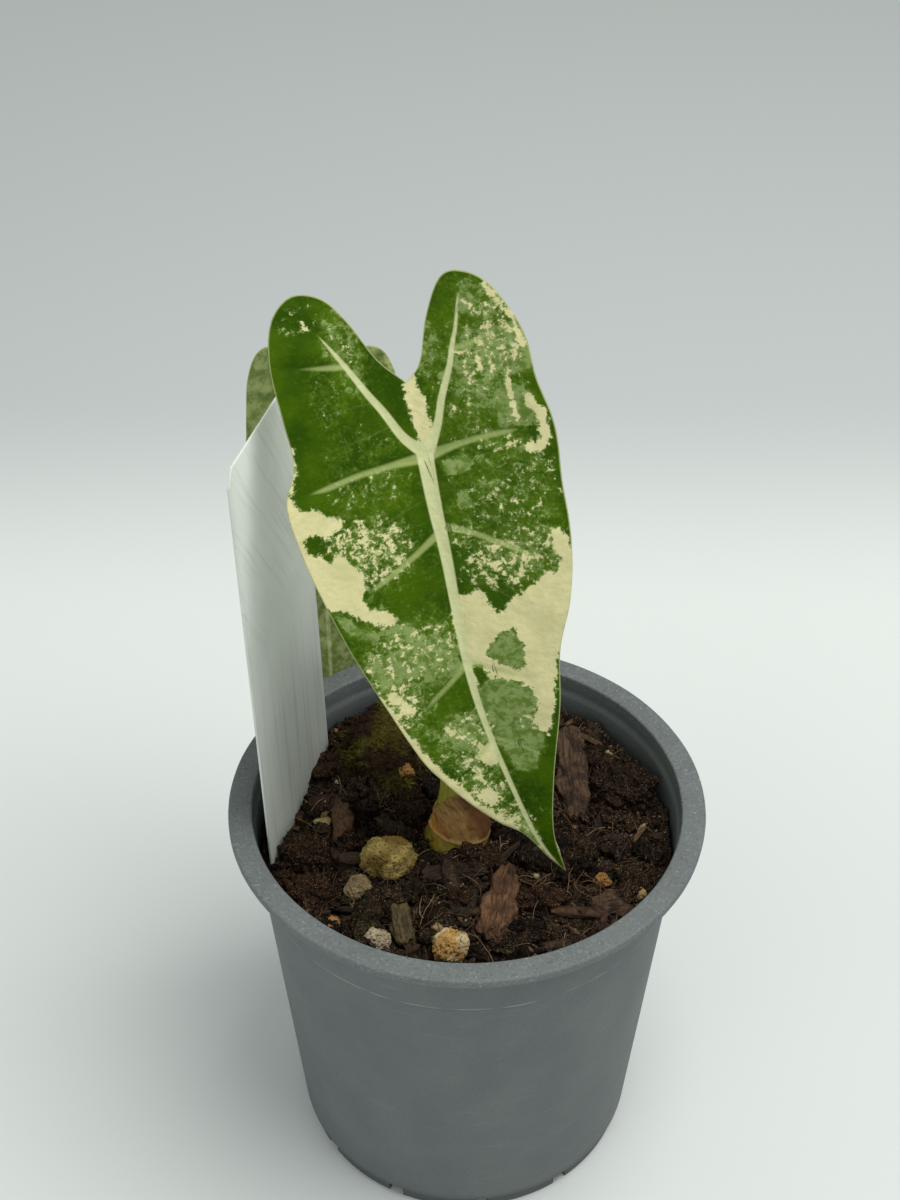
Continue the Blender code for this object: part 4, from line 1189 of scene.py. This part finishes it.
SIDE_VEINS = [
    [(-1.2, 0.8, 0.9), (-7.4, 0.3, 0.46), (-14.6, 0, 0.36), (-20.3, 0.3, 0.3), (-24.9, 0.1, -0.5)],
    [(0.6, 0.6, 0.9), (5.4, 0, 0.46), (10.4, -0.4, 0.36), (15.4, -0.4, 0.28), (19.5, -0.2, -0.5)],
    [(-9.6, -20.2, 0.4), (-13.9, -21.4, 0.25), (-20.3, -23.4, -0.5)],
    [(10.4, -17.7, 0.35), (15.4, -18.3, 0.26), (20.4, -19.9, -0.5)],
    [(-3.0, 15.8, 0.6), (-7.4, 18, 0.42), (-12.4, 20.1, 0.35), (-16.7, 21.6, 0.26),
     (-20.0, 22.7, -0.5)],
    [(-0.8, 14.7, 0.6), (3.3, 16.6, 0.42), (7.6, 19.4, 0.34), (11.9, 22.3, 0.25),
     (15.2, 24.6, -0.5)],
    [(-5.6, 43.2, 0.5), (-9.6, 45.9, 0.32), (-13.9, 48.4, 0.25), (-17.6, 51.0, -0.5)],
    [(-4.9, 42.5, 0.5), (-1, 44.8, 0.36), (2.6, 46.9, 0.28), (5.4, 48.7, -0.5)],
    [(-5.5, 61, 0.3), (-9.5, 64.2, 0.2), (-12.6, 67.6, -0.5)],
    [(-5.0, 60.4, 0.3), (-1, 63, 0.2), (3, 66.4, 0.08)],
]
NET_VEINS = [
    [(-3.0, 8.4, 0.16), (-9, 9.8, 0.12), (-17, 11.8, 0.06)],
    [(-0.8, 7.6, 0.16), (6, 8.9, 0.12), (14, 11.8, 0.06)],
    [(-3.6, 25, 0.16), (-9, 28, 0.12), (-15, 32.5, 0.06)],
    [(-2.4, 24, 0.16), (4, 28, 0.12), (9, 33, 0.06)],
    [(-4.6, 34.5, 0.14), (-9, 37.5, 0.1), (-15.5, 42.5, 0.05)],
    [(-5.6, 52, 0.14), (-10, 55.5, 0.1), (-15, 60.5, 0.05)],
    [(-5.3, 51.5, 0.14), (-1, 54.2, 0.1), (3.6, 57.6, 0.05)],
    [(-4.9, 69.5, 0.12), (-7.5, 72, 0.08), (-10, 75.4, 0.04)],
    [(-4.8, 69, 0.12), (-2, 71, 0.08), (1.4, 74, 0.04)],
    [(-6.6, -12, 0.12), (-10, -12.6, 0.1), (-19, -13.0, 0.05)],
    [(-4.4, -7, 0.12), (-10, -6.4, 0.1), (-20, -6.2, 0.05)],
    [(7.2, -11.8, 0.12), (13, -11, 0.1), (20, -10.4, 0.05)],
    [(4.6, -7.2, 0.12), (12, -6, 0.1), (20, -5.4, 0.05)],
]

# Patches as closed outlines, and specks as (across, down, reach across, reach down, amount).
# An amount of 0 covers about half of the blade there, and a more negative one covers less.
CREAM_PATCHES = [
    [(-0.4, -15.0), (1.9, -14.6), (2.7, -10), (2.5, -6), (1.8, -2.5), (1.2, 0), (-1.6, 0),
     (-1.1, -4), (-0.8, -9)],
    [(-23.6, -9.5), (-24.7, -6), (-28.4, 0.5), (-29.5, 8), (-28.4, 19), (-27.4, 22.5),
     (-24, 24.8), (-21.5, 27.2), (-18, 29.8), (-15, 29.6), (-16.5, 27), (-19.6, 25.5),
     (-20.4, 23), (-18.6, 20.5), (-19, 17.5), (-20.5, 14.5), (-22.4, 13), (-23.6, 14),
     (-25.2, 12.4), (-27.0, 11), (-27.6, 8.3), (-24.5, 7.8), (-22.6, 9), (-20, 8.5),
     (-19.3, 7.5), (-21, 5.5), (-23, 3.7), (-26, 2.2), (-27.0, 0.5), (-25.6, -2.5),
     (-24.0, -5.5)],
    [(-2.9, 28.6), (-0.3, 28.6), (1.5, 28), (2.8, 29), (3.0, 31.5), (3.6, 33.6), (5.2, 33.4),
     (7, 31.5), (9, 30.6), (11.5, 29.5), (13.5, 28.4), (15.4, 27), (17.5, 27.6), (18.6, 25),
     (18.2, 22), (18.6, 19.3), (20.2, 19.0), (21.2, 22), (22, 25), (20, 31), (18.4, 35),
     (15.6, 40), (12.8, 45.2), (11, 50), (9.2, 55), (7.4, 59.5), (6.0, 62), (5.0, 61),
     (3.8, 58.5), (4.8, 56.5), (6, 54), (5.9, 51), (4.2, 49.6), (2, 48), (-0.5, 46.8),
     (-3, 47.8), (-4.6, 49), (-5.4, 43), (-5.6, 36), (-4.6, 31)],
    [(-26.0, 43.5), (-23.2, 43), (-21.9, 47), (-20.6, 53), (-18.8, 58.6), (-15.7, 66),
     (-11.9, 74), (-8.6, 79.5), (-6.0, 84), (-4.0, 89), (-2.0, 94.5), (-0.1, 99), (-3, 95),
     (-8, 86), (-16, 74), (-22, 60)],
    [(-9.8, 62.6), (-7, 62), (-5.9, 59.5), (-5.5, 65), (-6.2, 67), (-8.5, 65.5)],
    [(-12.4, 71.6), (-9.4, 71), (-7.8, 72.6), (-8.6, 75.2), (-11, 75)],
]
CREAM_HOLES = [
    [(-1.2, 41.5), (0.5, 40), (2.5, 38.5), (4, 37.2), (6, 37.5), (6.3, 39.5), (7.1, 41),
     (6.2, 43), (6.3, 45.5), (4, 46.2), (1.5, 44.5), (-0.2, 42.8)],
    [(-4.8, 43.2), (-2.6, 44), (-1.6, 46.5), (-1.7, 49), (-3, 49.5), (-4.8, 47.5)],
]
CREAM_STROKES = [
    ([(21.4, -5.8), (23.0, -3), (22.8, 1), (20.8, 4.2), (19.3, 3.4)], 0.95),
    ([(19, -10.6), (18.6, -5.5), (18.2, -2)], 0.5),
    ([(19.6, -27.4), (21.6, -23.8), (22.9, -20.5), (23.5, -15.5)], 0.6),
    ([(14.6, -26), (16.2, -24.6)], 0.4),
    ([(-15.0, -31.0), (-14.6, -29.2)], 0.3),
    ([(10.8, -17.2), (13.6, -16.2)], 0.2),
    ([(-21.5, 44), (-19.5, 46.5), (-18.2, 48.8)], 0.9),
    ([(-13.5, 55.2), (-8, 61.2)], 0.5),
    ([(12.8, 2.6), (17.6, 1.6)], 0.3),
]
CREAM_SPECKS = [
    (-15.5, 15, 7.5, 7, -0.1), (-20, 12, 4, 5, 0.0), (-12.5, 3, 8, 4, -0.5),
    (-9, -24, 2.6, 7, -0.55), (-15, -16, 3.2, 6, -0.7), (-12, -6, 8, 5, -0.85),
    (-16, -31, 5, 3.4, -0.7), (14, -14, 4, 7, -0.2), (9, -8, 6, 5, -0.55),
    (13, -1, 8, 4, -0.55), (7.5, 23.5, 7.5, 5.5, -0.08), (13, 12, 9, 7, -0.45),
    (2, 17, 3, 3, -0.3), (16, 22, 4.5, 4, -0.2), (-14, 37, 9, 7, -0.28), (-20, 38, 5, 6, -0.3),
    (-20, 47, 3.6, 5, 0.0), (-9, 57, 5, 5, -0.35), (-10, 66, 4.5, 4, -0.1),
    (-13, 60, 5, 6, -0.5), (-10, 73, 4.4, 4, -0.1), (3.4, 57.8, 2.6, 2.6, -0.1),
    (-7.5, 80, 3.6, 4, 0.0), (-4.5, 85, 2.5, 7, -0.3), (0, 80, 4, 8, -1.0), (5, -21, 3, 6, -0.6),
    (19, -17, 4.5, 8, -0.15), (20, 6, 3.5, 6, -0.5), (4.5, 6, 3, 3, -0.9),
]
PALE_PATCHES = [
    [(15.5, -20), (19, -20.5), (22.8, -20), (25, -15), (24, -10.5), (19.5, -10.8), (17, -12),
     (15.5, -15)],
    [(14.5, -7.5), (17.5, -9.5), (20, -9), (22.6, -6), (22.5, -1), (19.5, -0.5), (15, -1.5)],
    [(2.0, 2.2), (7, 2.2), (8.2, 4), (6, 5.3), (2.5, 5.0)],
    [(2.6, 8.8), (5.2, 8.4), (5.6, 12), (3, 12.4)],
    CREAM_HOLES[0],
    [(-4.9, 49.5), (-3, 47.8), (-0.5, 46.8), (2, 48), (4.2, 49.6), (6, 51), (6.1, 54),
     (4.6, 56.5), (3.8, 58.5), (5.1, 61.7), (4.5, 65), (2.4, 67), (1.5, 69.8), (-1, 69.8),
     (-2.9, 68.4), (-3.9, 64.5), (-4.9, 58)],
    [(-19, 30.2), (-14, 30), (-12.3, 33.5), (-14, 35), (-18.5, 34.4)],
    [(-24.5, 36), (-18, 35.2), (-10.2, 35), (-6.2, 37), (-6.0, 43.4), (-9, 45), (-13, 43),
     (-17, 42), (-22, 43.5)],
    [(-26.5, 23.5), (-24.6, 25), (-21.9, 28.6), (-19, 31), (-21, 32), (-24.6, 29)],
    [(-14, 54), (-11, 53.4), (-9, 55.8), (-7, 55.8), (-6.2, 60), (-7.5, 63.6), (-11, 62),
     (-13.6, 58.4)],
    [(-9.0, 79.5), (-4.6, 79), (-3.4, 88), (-1.6, 95), (-4.5, 93), (-8, 86)],
    [(13.5, -27.5), (17, -27.2), (17.2, -23.4), (13.4, -23.8)],
]
PALE_SPECKS = [
    (-9, -23, 3.4, 8, 0.05), (-14, -15, 4, 7, -0.65), (-12, -2, 9, 7, -0.75),
    (14, -13, 6, 8, 0.2), (6, -18, 3.4, 7, 0.0), (9, -6, 7, 6, -0.4),
    (12, 6, 9, 7, -0.3), (8, 15, 9, 8, -0.4), (13, 22, 8, 6, -0.1), (18, 12, 4, 8, -0.4),
    (-13, 6, 9, 5, -0.5), (-15, 15, 8, 7, -0.3), (-15, 38, 10, 8, 0.05),
    (-18, 50, 5, 8, -0.1), (-10, 59, 6, 7, 0.0), (-9, 70, 5, 7, -0.2), (1, 76, 5, 8, -1.1),
    (-20, 28, 5, 5, -0.3), (18, -26, 5, 5, 0.1), (-5, 22, 4, 8, -1.0),
]


def polygon_distance(points, corners):
    """Distance to a closed outline, above 0 inside it."""
    corners = np.asarray(corners, float)
    nearest = np.full(len(points), 1e9)
    inside = np.zeros(len(points), bool)
    x, y = points[:, 0], points[:, 1]
    for (ax, ay), (bx, by) in zip(corners, np.roll(corners, -1, axis=0)):
        dx, dy = bx - ax, by - ay
        t = np.clip(((x - ax) * dx + (y - ay) * dy) / (dx * dx + dy * dy), 0.0, 1.0)
        nearest = np.minimum(nearest, np.hypot(x - ax - t * dx, y - ay - t * dy))
        if dy != 0.0:
            crosses = (y < ay) != (y < by)
            inside ^= crosses & (x < ax + (y - ay) / dy * dx)
    return np.where(inside, nearest, -nearest)


def stroke_distance(points, run):
    """Distance to a line, and how far along it, as a segment number with a share."""
    run = np.asarray(run, float)
    nearest = np.full(len(points), 1e9)
    where = np.zeros(len(points))
    for i, (a, b) in enumerate(zip(run, run[1:])):
        d = b[:2] - a[:2]
        t = np.clip(((points - a[:2]) @ d) / (d @ d), 0.0, 1.0)
        away = np.linalg.norm(points - a[:2] - t[:, None] * d, axis=1)
        closer = away < nearest
        nearest = np.where(closer, away, nearest)
        where = np.where(closer, i + t, where)
    return nearest, where


def vein_field(points, veins):
    """How far inside the nearest vein's half width each point lies, and the distance to it."""
    field, nearest = np.full(len(points), -9.0), np.full(len(points), 9.0)
    for vein in veins:
        run = np.asarray(smooth_run(vein, 6))
        away, where = stroke_distance(points, run)
        half = np.interp(where, np.arange(len(run)), run[:, 2])
        field = np.maximum(field, half - away)
        nearest = np.minimum(nearest, away)
    return field, nearest


def patch_field(points, patches, holes, strokes, specks):
    """From -1.6, bare, to 1.6, covered; noise in the material crinkles where it crosses 0."""
    value = np.full(len(points), -9.0)
    for patch in patches:
        value = np.maximum(value, polygon_distance(points, patch))
    for run, half in strokes:
        value = np.maximum(value, half - stroke_distance(points, run)[0])
    for hole in holes:
        value = np.minimum(value, -polygon_distance(points, hole))
    value = np.clip(value * 1.25, -1.6, 1.6)
    for across, down, wide, tall, amount in specks:
        reach = np.hypot((points[:, 0] - across) / wide, (points[:, 1] - down) / tall)
        blob = np.where(reach < 1.6, amount - 1.1 * smooth_step(0.6, 1.6, reach), -1.6)
        value = np.maximum(value, blob)
    return value


class Blade:
    """A leaf blade's surface: the same as the part's."""

    def __init__(self, tip, down, normal, length, width, sides, arch, bow, fold, mirrored):
        self.down = down.normalized()
        self.attachment = tip - self.down * length
        self.normal = (normal - self.down * normal.dot(self.down)).normalized()
        self.across = self.normal.cross(self.down)
        self.length = length
        self.down_scale = length / FRONT_LENGTH
        self.across_scale = width / FRONT_WIDTH * (-1.0 if mirrored else 1.0)
        self.sides = sides
        self.arch, self.bow, self.fold = arch, bow, fold

    def points(self, across, down):
        share = down / self.length
        lift = self.arch * 4.0 * share * (1.0 - share) * np.where(share < 0.0, 0.55, 1.0)
        crease = 3.0 * MM
        midrib = np.where(share > 0.0, self.bow * 4.0 * share * (1.0 - share),
                          self.bow * 1.4 * share)
        lift = lift + self.fold * (np.hypot(across - midrib, crease) - crease)
        return (np.array(self.attachment) + np.outer(across, self.across)
                + np.outer(down, self.down) + np.outer(lift, self.normal))

    def end(self):
        return Vector(self.points(np.zeros(1), np.zeros(1))[0])


def make_leaf(node, blade, material, drawing, seed):
    """A thin closed blade whose upper side is sunk along its veins, and its lower side raised."""
    edge = np.vstack([evenly_spaced(smooth_run(side, 12), LEAF_SPOKES) for side in blade.sides])
    spokes = len(edge)
    shares = (np.arange(1, LEAF_RINGS + 1) / LEAF_RINGS) ** 0.92
    drawn = np.vstack([[(0.0, 0.0)]] + [edge * share for share in shares])
    across = drawn[:, 0] * MM * blade.across_scale
    down = drawn[:, 1] * MM * blade.down_scale

    # the distance to the margin, worked out only where the margin can matter
    margin = np.full(len(drawn), 9.0)
    closed = np.vstack([edge, edge[:1]])
    near = np.repeat(shares, spokes) > 0.55
    margin[1:][near] = stroke_distance(drawn[1:][near], closed[::2])[0]
    rib, rib_away = vein_field(drawn, drawing["ribs"])
    vein, vein_away = vein_field(drawn, drawing["veins"])
    net, net_away = vein_field(drawn, drawing["net"])
    cream = patch_field(drawn, *drawing["cream"])
    pale = patch_field(drawn, *drawing["pale"])

    # relief: valleys along the veins, soft pillows between them, and a waving margin
    shift = Vector((seed * 9.1, seed * 4.3, 0.0))
    pillows = np.array([noise.noise(Vector((u, v, 0.0)) / 6.5 + shift) for u, v in drawn])
    waves = np.array([noise.noise(Vector((u, v, 0.0)) / 17.0 + shift * 2) for u, v in drawn])
    away = np.minimum(rib_away, np.minimum(vein_away, net_away + 0.4))
    lift = 0.34 * pillows * smooth_step(0.4, 3.0, away)
    lift -= 0.16 * np.exp(-(vein_away / 0.8) ** 2) + 0.10 * np.exp(-(rib_away / 1.2) ** 2)
    lift += 0.14 * smooth_step(0.0, 2.5, np.minimum(rib_away, vein_away))
    lift += 0.75 * waves * smooth_step(7.0, 0.5, margin) * smooth_step(3.0, 12.0, rib_away)
    thick = (EDGE_THICKNESS + (BLADE_THICKNESS - EDGE_THICKNESS) * smooth_step(0.0, 1.2, margin)) / MM
    ridge = np.clip(rib, 0.0, 2.0) * 0.75 + np.clip(vein + 0.1, 0.0, 1.0) * 0.8
    thick = thick + ridge * smooth_step(0.0, 1.5, margin)

    flat = blade.points(across, down)
    faces = disc_faces(LEAF_RINGS - 1, spokes)
    probe = bpy.data.meshes.new("probe")
    probe.from_pydata(flat.tolist(), [], faces)
    normals = np.zeros(len(flat) * 3)
    probe.vertices.foreach_get("normal", normals)
    normals = normals.reshape(-1, 3)
    bpy.data.meshes.remove(probe)
    normals *= np.sign(normals @ np.array(blade.normal))[:, None]
    top = flat + normals * (lift * MM)[:, None]
    bottom = flat + normals * ((lift - thick) * MM)[:, None]

    count = len(top)
    rim = count - spokes
    faces += [tuple(count + i for i in reversed(face)) for face in faces]
    faces += [(rim + k, count + rim + k, count + rim + (k + 1) % spokes, rim + (k + 1) % spokes)
              for k in range(spokes)]
    low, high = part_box(node)
    corners = np.clip(np.vstack([top, bottom]), low, high)
    leaf = new_piece(node + "_blade", corners, faces, material)
    outward(leaf.data)
    set_attribute(leaf, "place", np.tile(np.column_stack([drawn, np.zeros(count)]), (2, 1)))
    for key, values in (("rib", rib), ("vein", vein), ("net", net), ("cream", cream),
                        ("pale", pale), ("edge", margin)):
        set_attribute(leaf, key, np.tile(np.clip(values, -4.0, 4.0), 2))
    set_attribute(leaf, "under", np.repeat([0.0, 1.0], count))
    place_piece(leaf, node + "_blade", node)


def upper_tip(node, normal):
    """The blade's tip on its upper side, from the CAD node."""
    corners = [v.co.copy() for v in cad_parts[node].data.vertices]
    lowest = min(c.z for c in corners)
    return max((c for c in corners if c.z < lowest + 0.3 * MM), key=lambda c: c.dot(normal))


# The label --------------------------------------------------------------------------

def make_label(material):
    """The CAD label with its edges eased, and its own drawing coordinates."""
    shape = bmesh.new()
    shape.from_mesh(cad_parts["plant_label"].data)
    bmesh.ops.remove_doubles(shape, verts=shape.verts, dist=0.001 * MM)
    bmesh.ops.dissolve_limit(shape, angle_limit=math.radians(2.0), verts=shape.verts,
                             edges=shape.edges)
    bmesh.ops.bevel(shape, geom=list(shape.edges), offset=0.14 * MM, segments=3,
                    affect="EDGES", profile=0.5)
    label = from_shape("label_sheet", shape, material)
    mesh = label.data
    mesh.set_sharp_from_angle(angle=math.radians(40.0))
    centre, (_, sideways, _) = long_axes(np.array([v.co for v in mesh.vertices]))
    set_attribute(label, "sheet", [(0.0, (v.co - centre).dot(sideways) / MM,
                                  (v.co.z - SOIL_TOP) / MM) for v in mesh.vertices])
    place_piece(label, "label_plastic", "plant_label")


# Stage ------------------------------------------------------------------------------

def make_floor():
    s = Shade("floor", 0.75, 0.2)
    place = s.position()
    down = s.axis(place, "Y")
    # painted light and shade: the floor lighter just behind the pot, darker in a band further back
    # where a backdrop would be in less light, and a little lighter again far off
    near = s.mix(s.step(down, 20.0, 200.0), (226, 231, 228), (238, 243, 239))
    painted_falloff = s.mix(s.step(down, 185.0, 330.0), near, (208, 213, 212))
    material = s.finish(s.mix(s.step(down, 330.0, 900.0), painted_falloff, (214, 219, 216)), None,
                        s.noise(place, 2.0), 0.02)
    vertices, faces = lathe([(0.0, 0.0), (0.6, 0.0), (3.0, 0.0)], 64)
    vertices = [(x, y, -0.05 * MM) for x, y, _ in vertices]
    floor = new_piece("floor", vertices, faces, material)


def make_light(name, place, target, power, colour):
    data = bpy.data.lights.new(name, "AREA")
    data.shape = "DISK"
    data.size = LIGHT_SIZE
    data.energy = power
    data.color = colour
    light = link(name, data)
    light.location = place
    light.rotation_euler = (Vector(target) - Vector(place)).to_track_quat("-Z", "Y").to_euler()


def make_stage():
    make_floor()
    world = bpy.data.worlds.new("studio")
    bpy.context.scene.world = world
    world.use_nodes = True
    background = world.node_tree.nodes["Background"]
    background.inputs["Color"].default_value = (0.90, 0.94, 0.93, 1.0)
    background.inputs["Strength"].default_value = 0.47
    subject = (0.0, 0.0, 0.12)
    make_light("overhead", (0.28, -0.10, 0.95), subject, 6.3, (1.0, 0.99, 0.97))
    make_light("front_fill", (-0.55, -0.75, 0.55), subject, 1.2, (0.97, 0.99, 1.0))
    bpy.context.scene.view_settings.view_transform = "Standard"


def make_camera():
    """Above and in front, looking down."""
    data = bpy.data.cameras.new("camera")
    data.lens = CAMERA_LENS
    data.sensor_width = 36.0
    camera = link("camera", data)
    camera.location = CAMERA_PLACE
    camera.rotation_euler = (math.radians(90.0) - CAMERA_PITCH, 0.0, 0.0)
    bpy.context.scene.camera = camera


# Build ------------------------------------------------------------------------------

MATERIALS = {
    "pot_plastic": pot_plastic(), "peat_mix": peat_mix(), "pumice": stone_material(),
    "bark": bark_material(), "moss": moss_material(), "fibre": fibre_matter(),
}
LARGE_PIECES = [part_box(name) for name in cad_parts
                if name.startswith(("pumice", "bark", "peat_lump", "moss"))]

BROWNS = [(255, 246, 236), (200, 188, 175), (255, 228, 206), (140, 128, 118), (225, 228, 205),
          (104, 92, 84), (255, 255, 245)]
WOODS = [(48, 34, 24), (70, 48, 32), (38, 28, 20), (92, 66, 44), (60, 40, 28), (28, 21, 16),
         (116, 88, 60), (44, 32, 22), (56, 42, 30)]
DUSTS = [(150, 130, 104), (120, 96, 70), (172, 150, 118), (96, 74, 54), (136, 116, 92)]
GRITS = [(168, 132, 78), (176, 160, 118), (140, 104, 58), (196, 188, 160), (112, 92, 62)]

# What is strewn on the soil: piece, material, slot, count, smallest and largest size in mm, tints,
# shapes, and how high each lies as a share of its size
STREWN = [
    ("soil_clods", "peat_mix", "peat_mix", 380, 1.2, 4.2, BROWNS,
     clod_shapes(51, 16, 4, 9, 0.6), 0.25),
    ("soil_crumbs", "peat_mix", "peat_mix", 1400, 0.3, 1.2, BROWNS,
     clod_shapes(61, 16, 2, 8, 0.4), 0.5),
    ("soil_splinters", "bark", "bark", 300, 1.2, 6.0, WOODS, sliver_shapes(71, 18), 0.12),
    ("soil_dust", "fibre", "peat_mix", 2600, 0.12, 0.42, DUSTS, clod_shapes(81, 8, 1, 7, 0.4), 0.7),
    ("soil_grit", "pumice", "pumice", 60, 0.3, 1.1, GRITS, clod_shapes(91, 10, 3, 9, 0.35), 0.55),
]
FIRST_SEED = 5

# Each larger piece's tint, and what else sets it apart. Its seed is its number.
STONES = [
    ((186, 164, 92), {"pits": 0.1, "facets": 9, "rough": 0.15, "second": (136, 112, 50)}),
    ((150, 132, 98), {"rough": 0.16}),
    ((192, 150, 84), {"rough": 0.16, "second": (206, 186, 142)}),
    ((188, 176, 146), {"pits": 0.2}),
    ((180, 160, 112), {}), ((160, 120, 58), {}), ((168, 118, 60), {}), ((176, 146, 98), {}),
    ((186, 164, 118), {}), ((168, 124, 70), {}), ((168, 146, 100), {}), ((144, 118, 76), {}),
]
CHIPS = [
    ((84, 56, 34), {"ridge": 0.3, "taper": 0.6, "light": (116, 82, 54)}),
    ((56, 40, 28), {"ridge": 0.3, "light": (84, 64, 46)}),
    ((46, 33, 24), {"ridge": 0.35, "light": (78, 58, 42)}),
    ((58, 44, 32), {"ridge": 0.3}),
    ((84, 72, 44), {"light": (104, 92, 56)}),
]
LUMPS = {"left": (255, 238, 222), "front": (255, 226, 204), "right": (205, 185, 170),
         "middle": (215, 200, 160)}


def build_soil():
    make_soil(MATERIALS["peat_mix"])
    for seed, (name, material, slot, count, small, large, tints, shapes, lift) in enumerate(
            STREWN, FIRST_SEED):
        scattered(name, MATERIALS[material], slot, seed, count, (small * MM, large * MM), tints,
                  shapes, lift)
    make_fibres(MATERIALS["fibre"])


def build_surface_pieces():
    for number, (tint, more) in enumerate(STONES, 1):
        make_stone(f"pumice_{number}", tint, number, **more)
    for number, (tint, more) in enumerate(CHIPS, 1):
        make_chip(f"bark_{number}", tint, number, **more)
    for number, (side, tint) in enumerate(LUMPS.items(), 1):
        make_lump("peat_lump_" + side, tint, number)
    make_moss(MATERIALS["moss"])


def build_front_leaf(stalk_material):
    blade = Blade(upper_tip("front_leaf", FRONT_NORMAL), FRONT_DOWN, FRONT_NORMAL, FRONT_LENGTH,
                  FRONT_WIDTH, (LEFT_SIDE, RIGHT_SIDE), 5.0 * MM, -5.6 * MM, 0.2, False)
    drawing = {
        "ribs": RIBS, "veins": SIDE_VEINS, "net": NET_VEINS,
        "cream": (CREAM_PATCHES, CREAM_HOLES, CREAM_STROKES, CREAM_SPECKS),
        "pale": (PALE_PATCHES, [], [], PALE_SPECKS),
    }
    material = leaf_material("front_leaf_blade", (128, 146, 92))
    make_leaf("front_leaf", blade, material, drawing, 1)
    end = blade.end() - blade.normal * 1.6 * MM
    foot = Vector((-2.9 * MM, -0.9 * MM, GROUND + CORM_HEIGHT - 1.0 * MM))
    rise = end.z - foot.z
    make_stalk("front_stalk", "front_petiole", [
        foot,
        foot + Vector((-0.3 * MM, 0.2 * MM, rise * 0.15)),
        foot + Vector((-1.3 * MM, 3.0 * MM, rise * 0.50)),
        end + Vector((0.6 * MM, 4.4 * MM, -rise * 0.16)),
        end,
    ], (2.9 * MM, 1.7 * MM), 0.25, stalk_material)


def build_back_leaf(stalk_material):
    outwards = Vector((-math.sin(BACK_YAW), math.cos(BACK_YAW), 0.0))
    down = outwards * math.cos(BACK_SLOPE) - Vector((0, 0, 1)) * math.sin(BACK_SLOPE)
    blade = Blade(upper_tip("back_leaf", outwards), down, outwards, BACK_LENGTH, BACK_WIDTH,
                  (LEFT_SIDE, BACK_RIGHT_SIDE), 4.0 * MM, 0.0, 0.04, True)
    drawing = {
        "ribs": [[(0, -0.5, 1.5), (0, 30, 1.0), (0, 60, 0.7), (0, 85, 0.4), (0, 98, 0.1)],
                 RIBS[1], RIBS[2]],
        "veins": SIDE_VEINS, "net": NET_VEINS,
        "cream": ([], [], CREAM_STROKES[:3], [(-14, 12, 9, 12, -0.5), (12, 40, 6, 12, -0.5)]),
        "pale": (PALE_PATCHES[:2], [], [], PALE_SPECKS),
    }
    material = leaf_material("back_leaf_blade", (186, 196, 132))
    make_leaf("back_leaf", blade, material, drawing, 2)
    end = blade.end() - blade.normal * 1.3 * MM
    foot = Vector((-3.2 * MM, 4.7 * MM, GROUND + CORM_HEIGHT - 1.0 * MM))
    rise = end - foot
    bends = [(0.06, 0.25), (0.30, 0.66), (0.72, 0.97)]       # shares outwards and upwards
    route = [foot + Vector((rise.x * out, rise.y * out, rise.z * up)) for out, up in bends]
    make_stalk("back_stalk", "back_petiole", [foot, *route, end], (2.1 * MM, 1.4 * MM), 0.2,
               stalk_material)


make_camera()
make_stage()
make_pot(MATERIALS["pot_plastic"])
build_soil()
build_surface_pieces()
make_corm(corm_material())
make_scale(dry_scale())
petiole = petiole_material()
build_front_leaf(petiole)
build_back_leaf(petiole)
make_label(label_material())
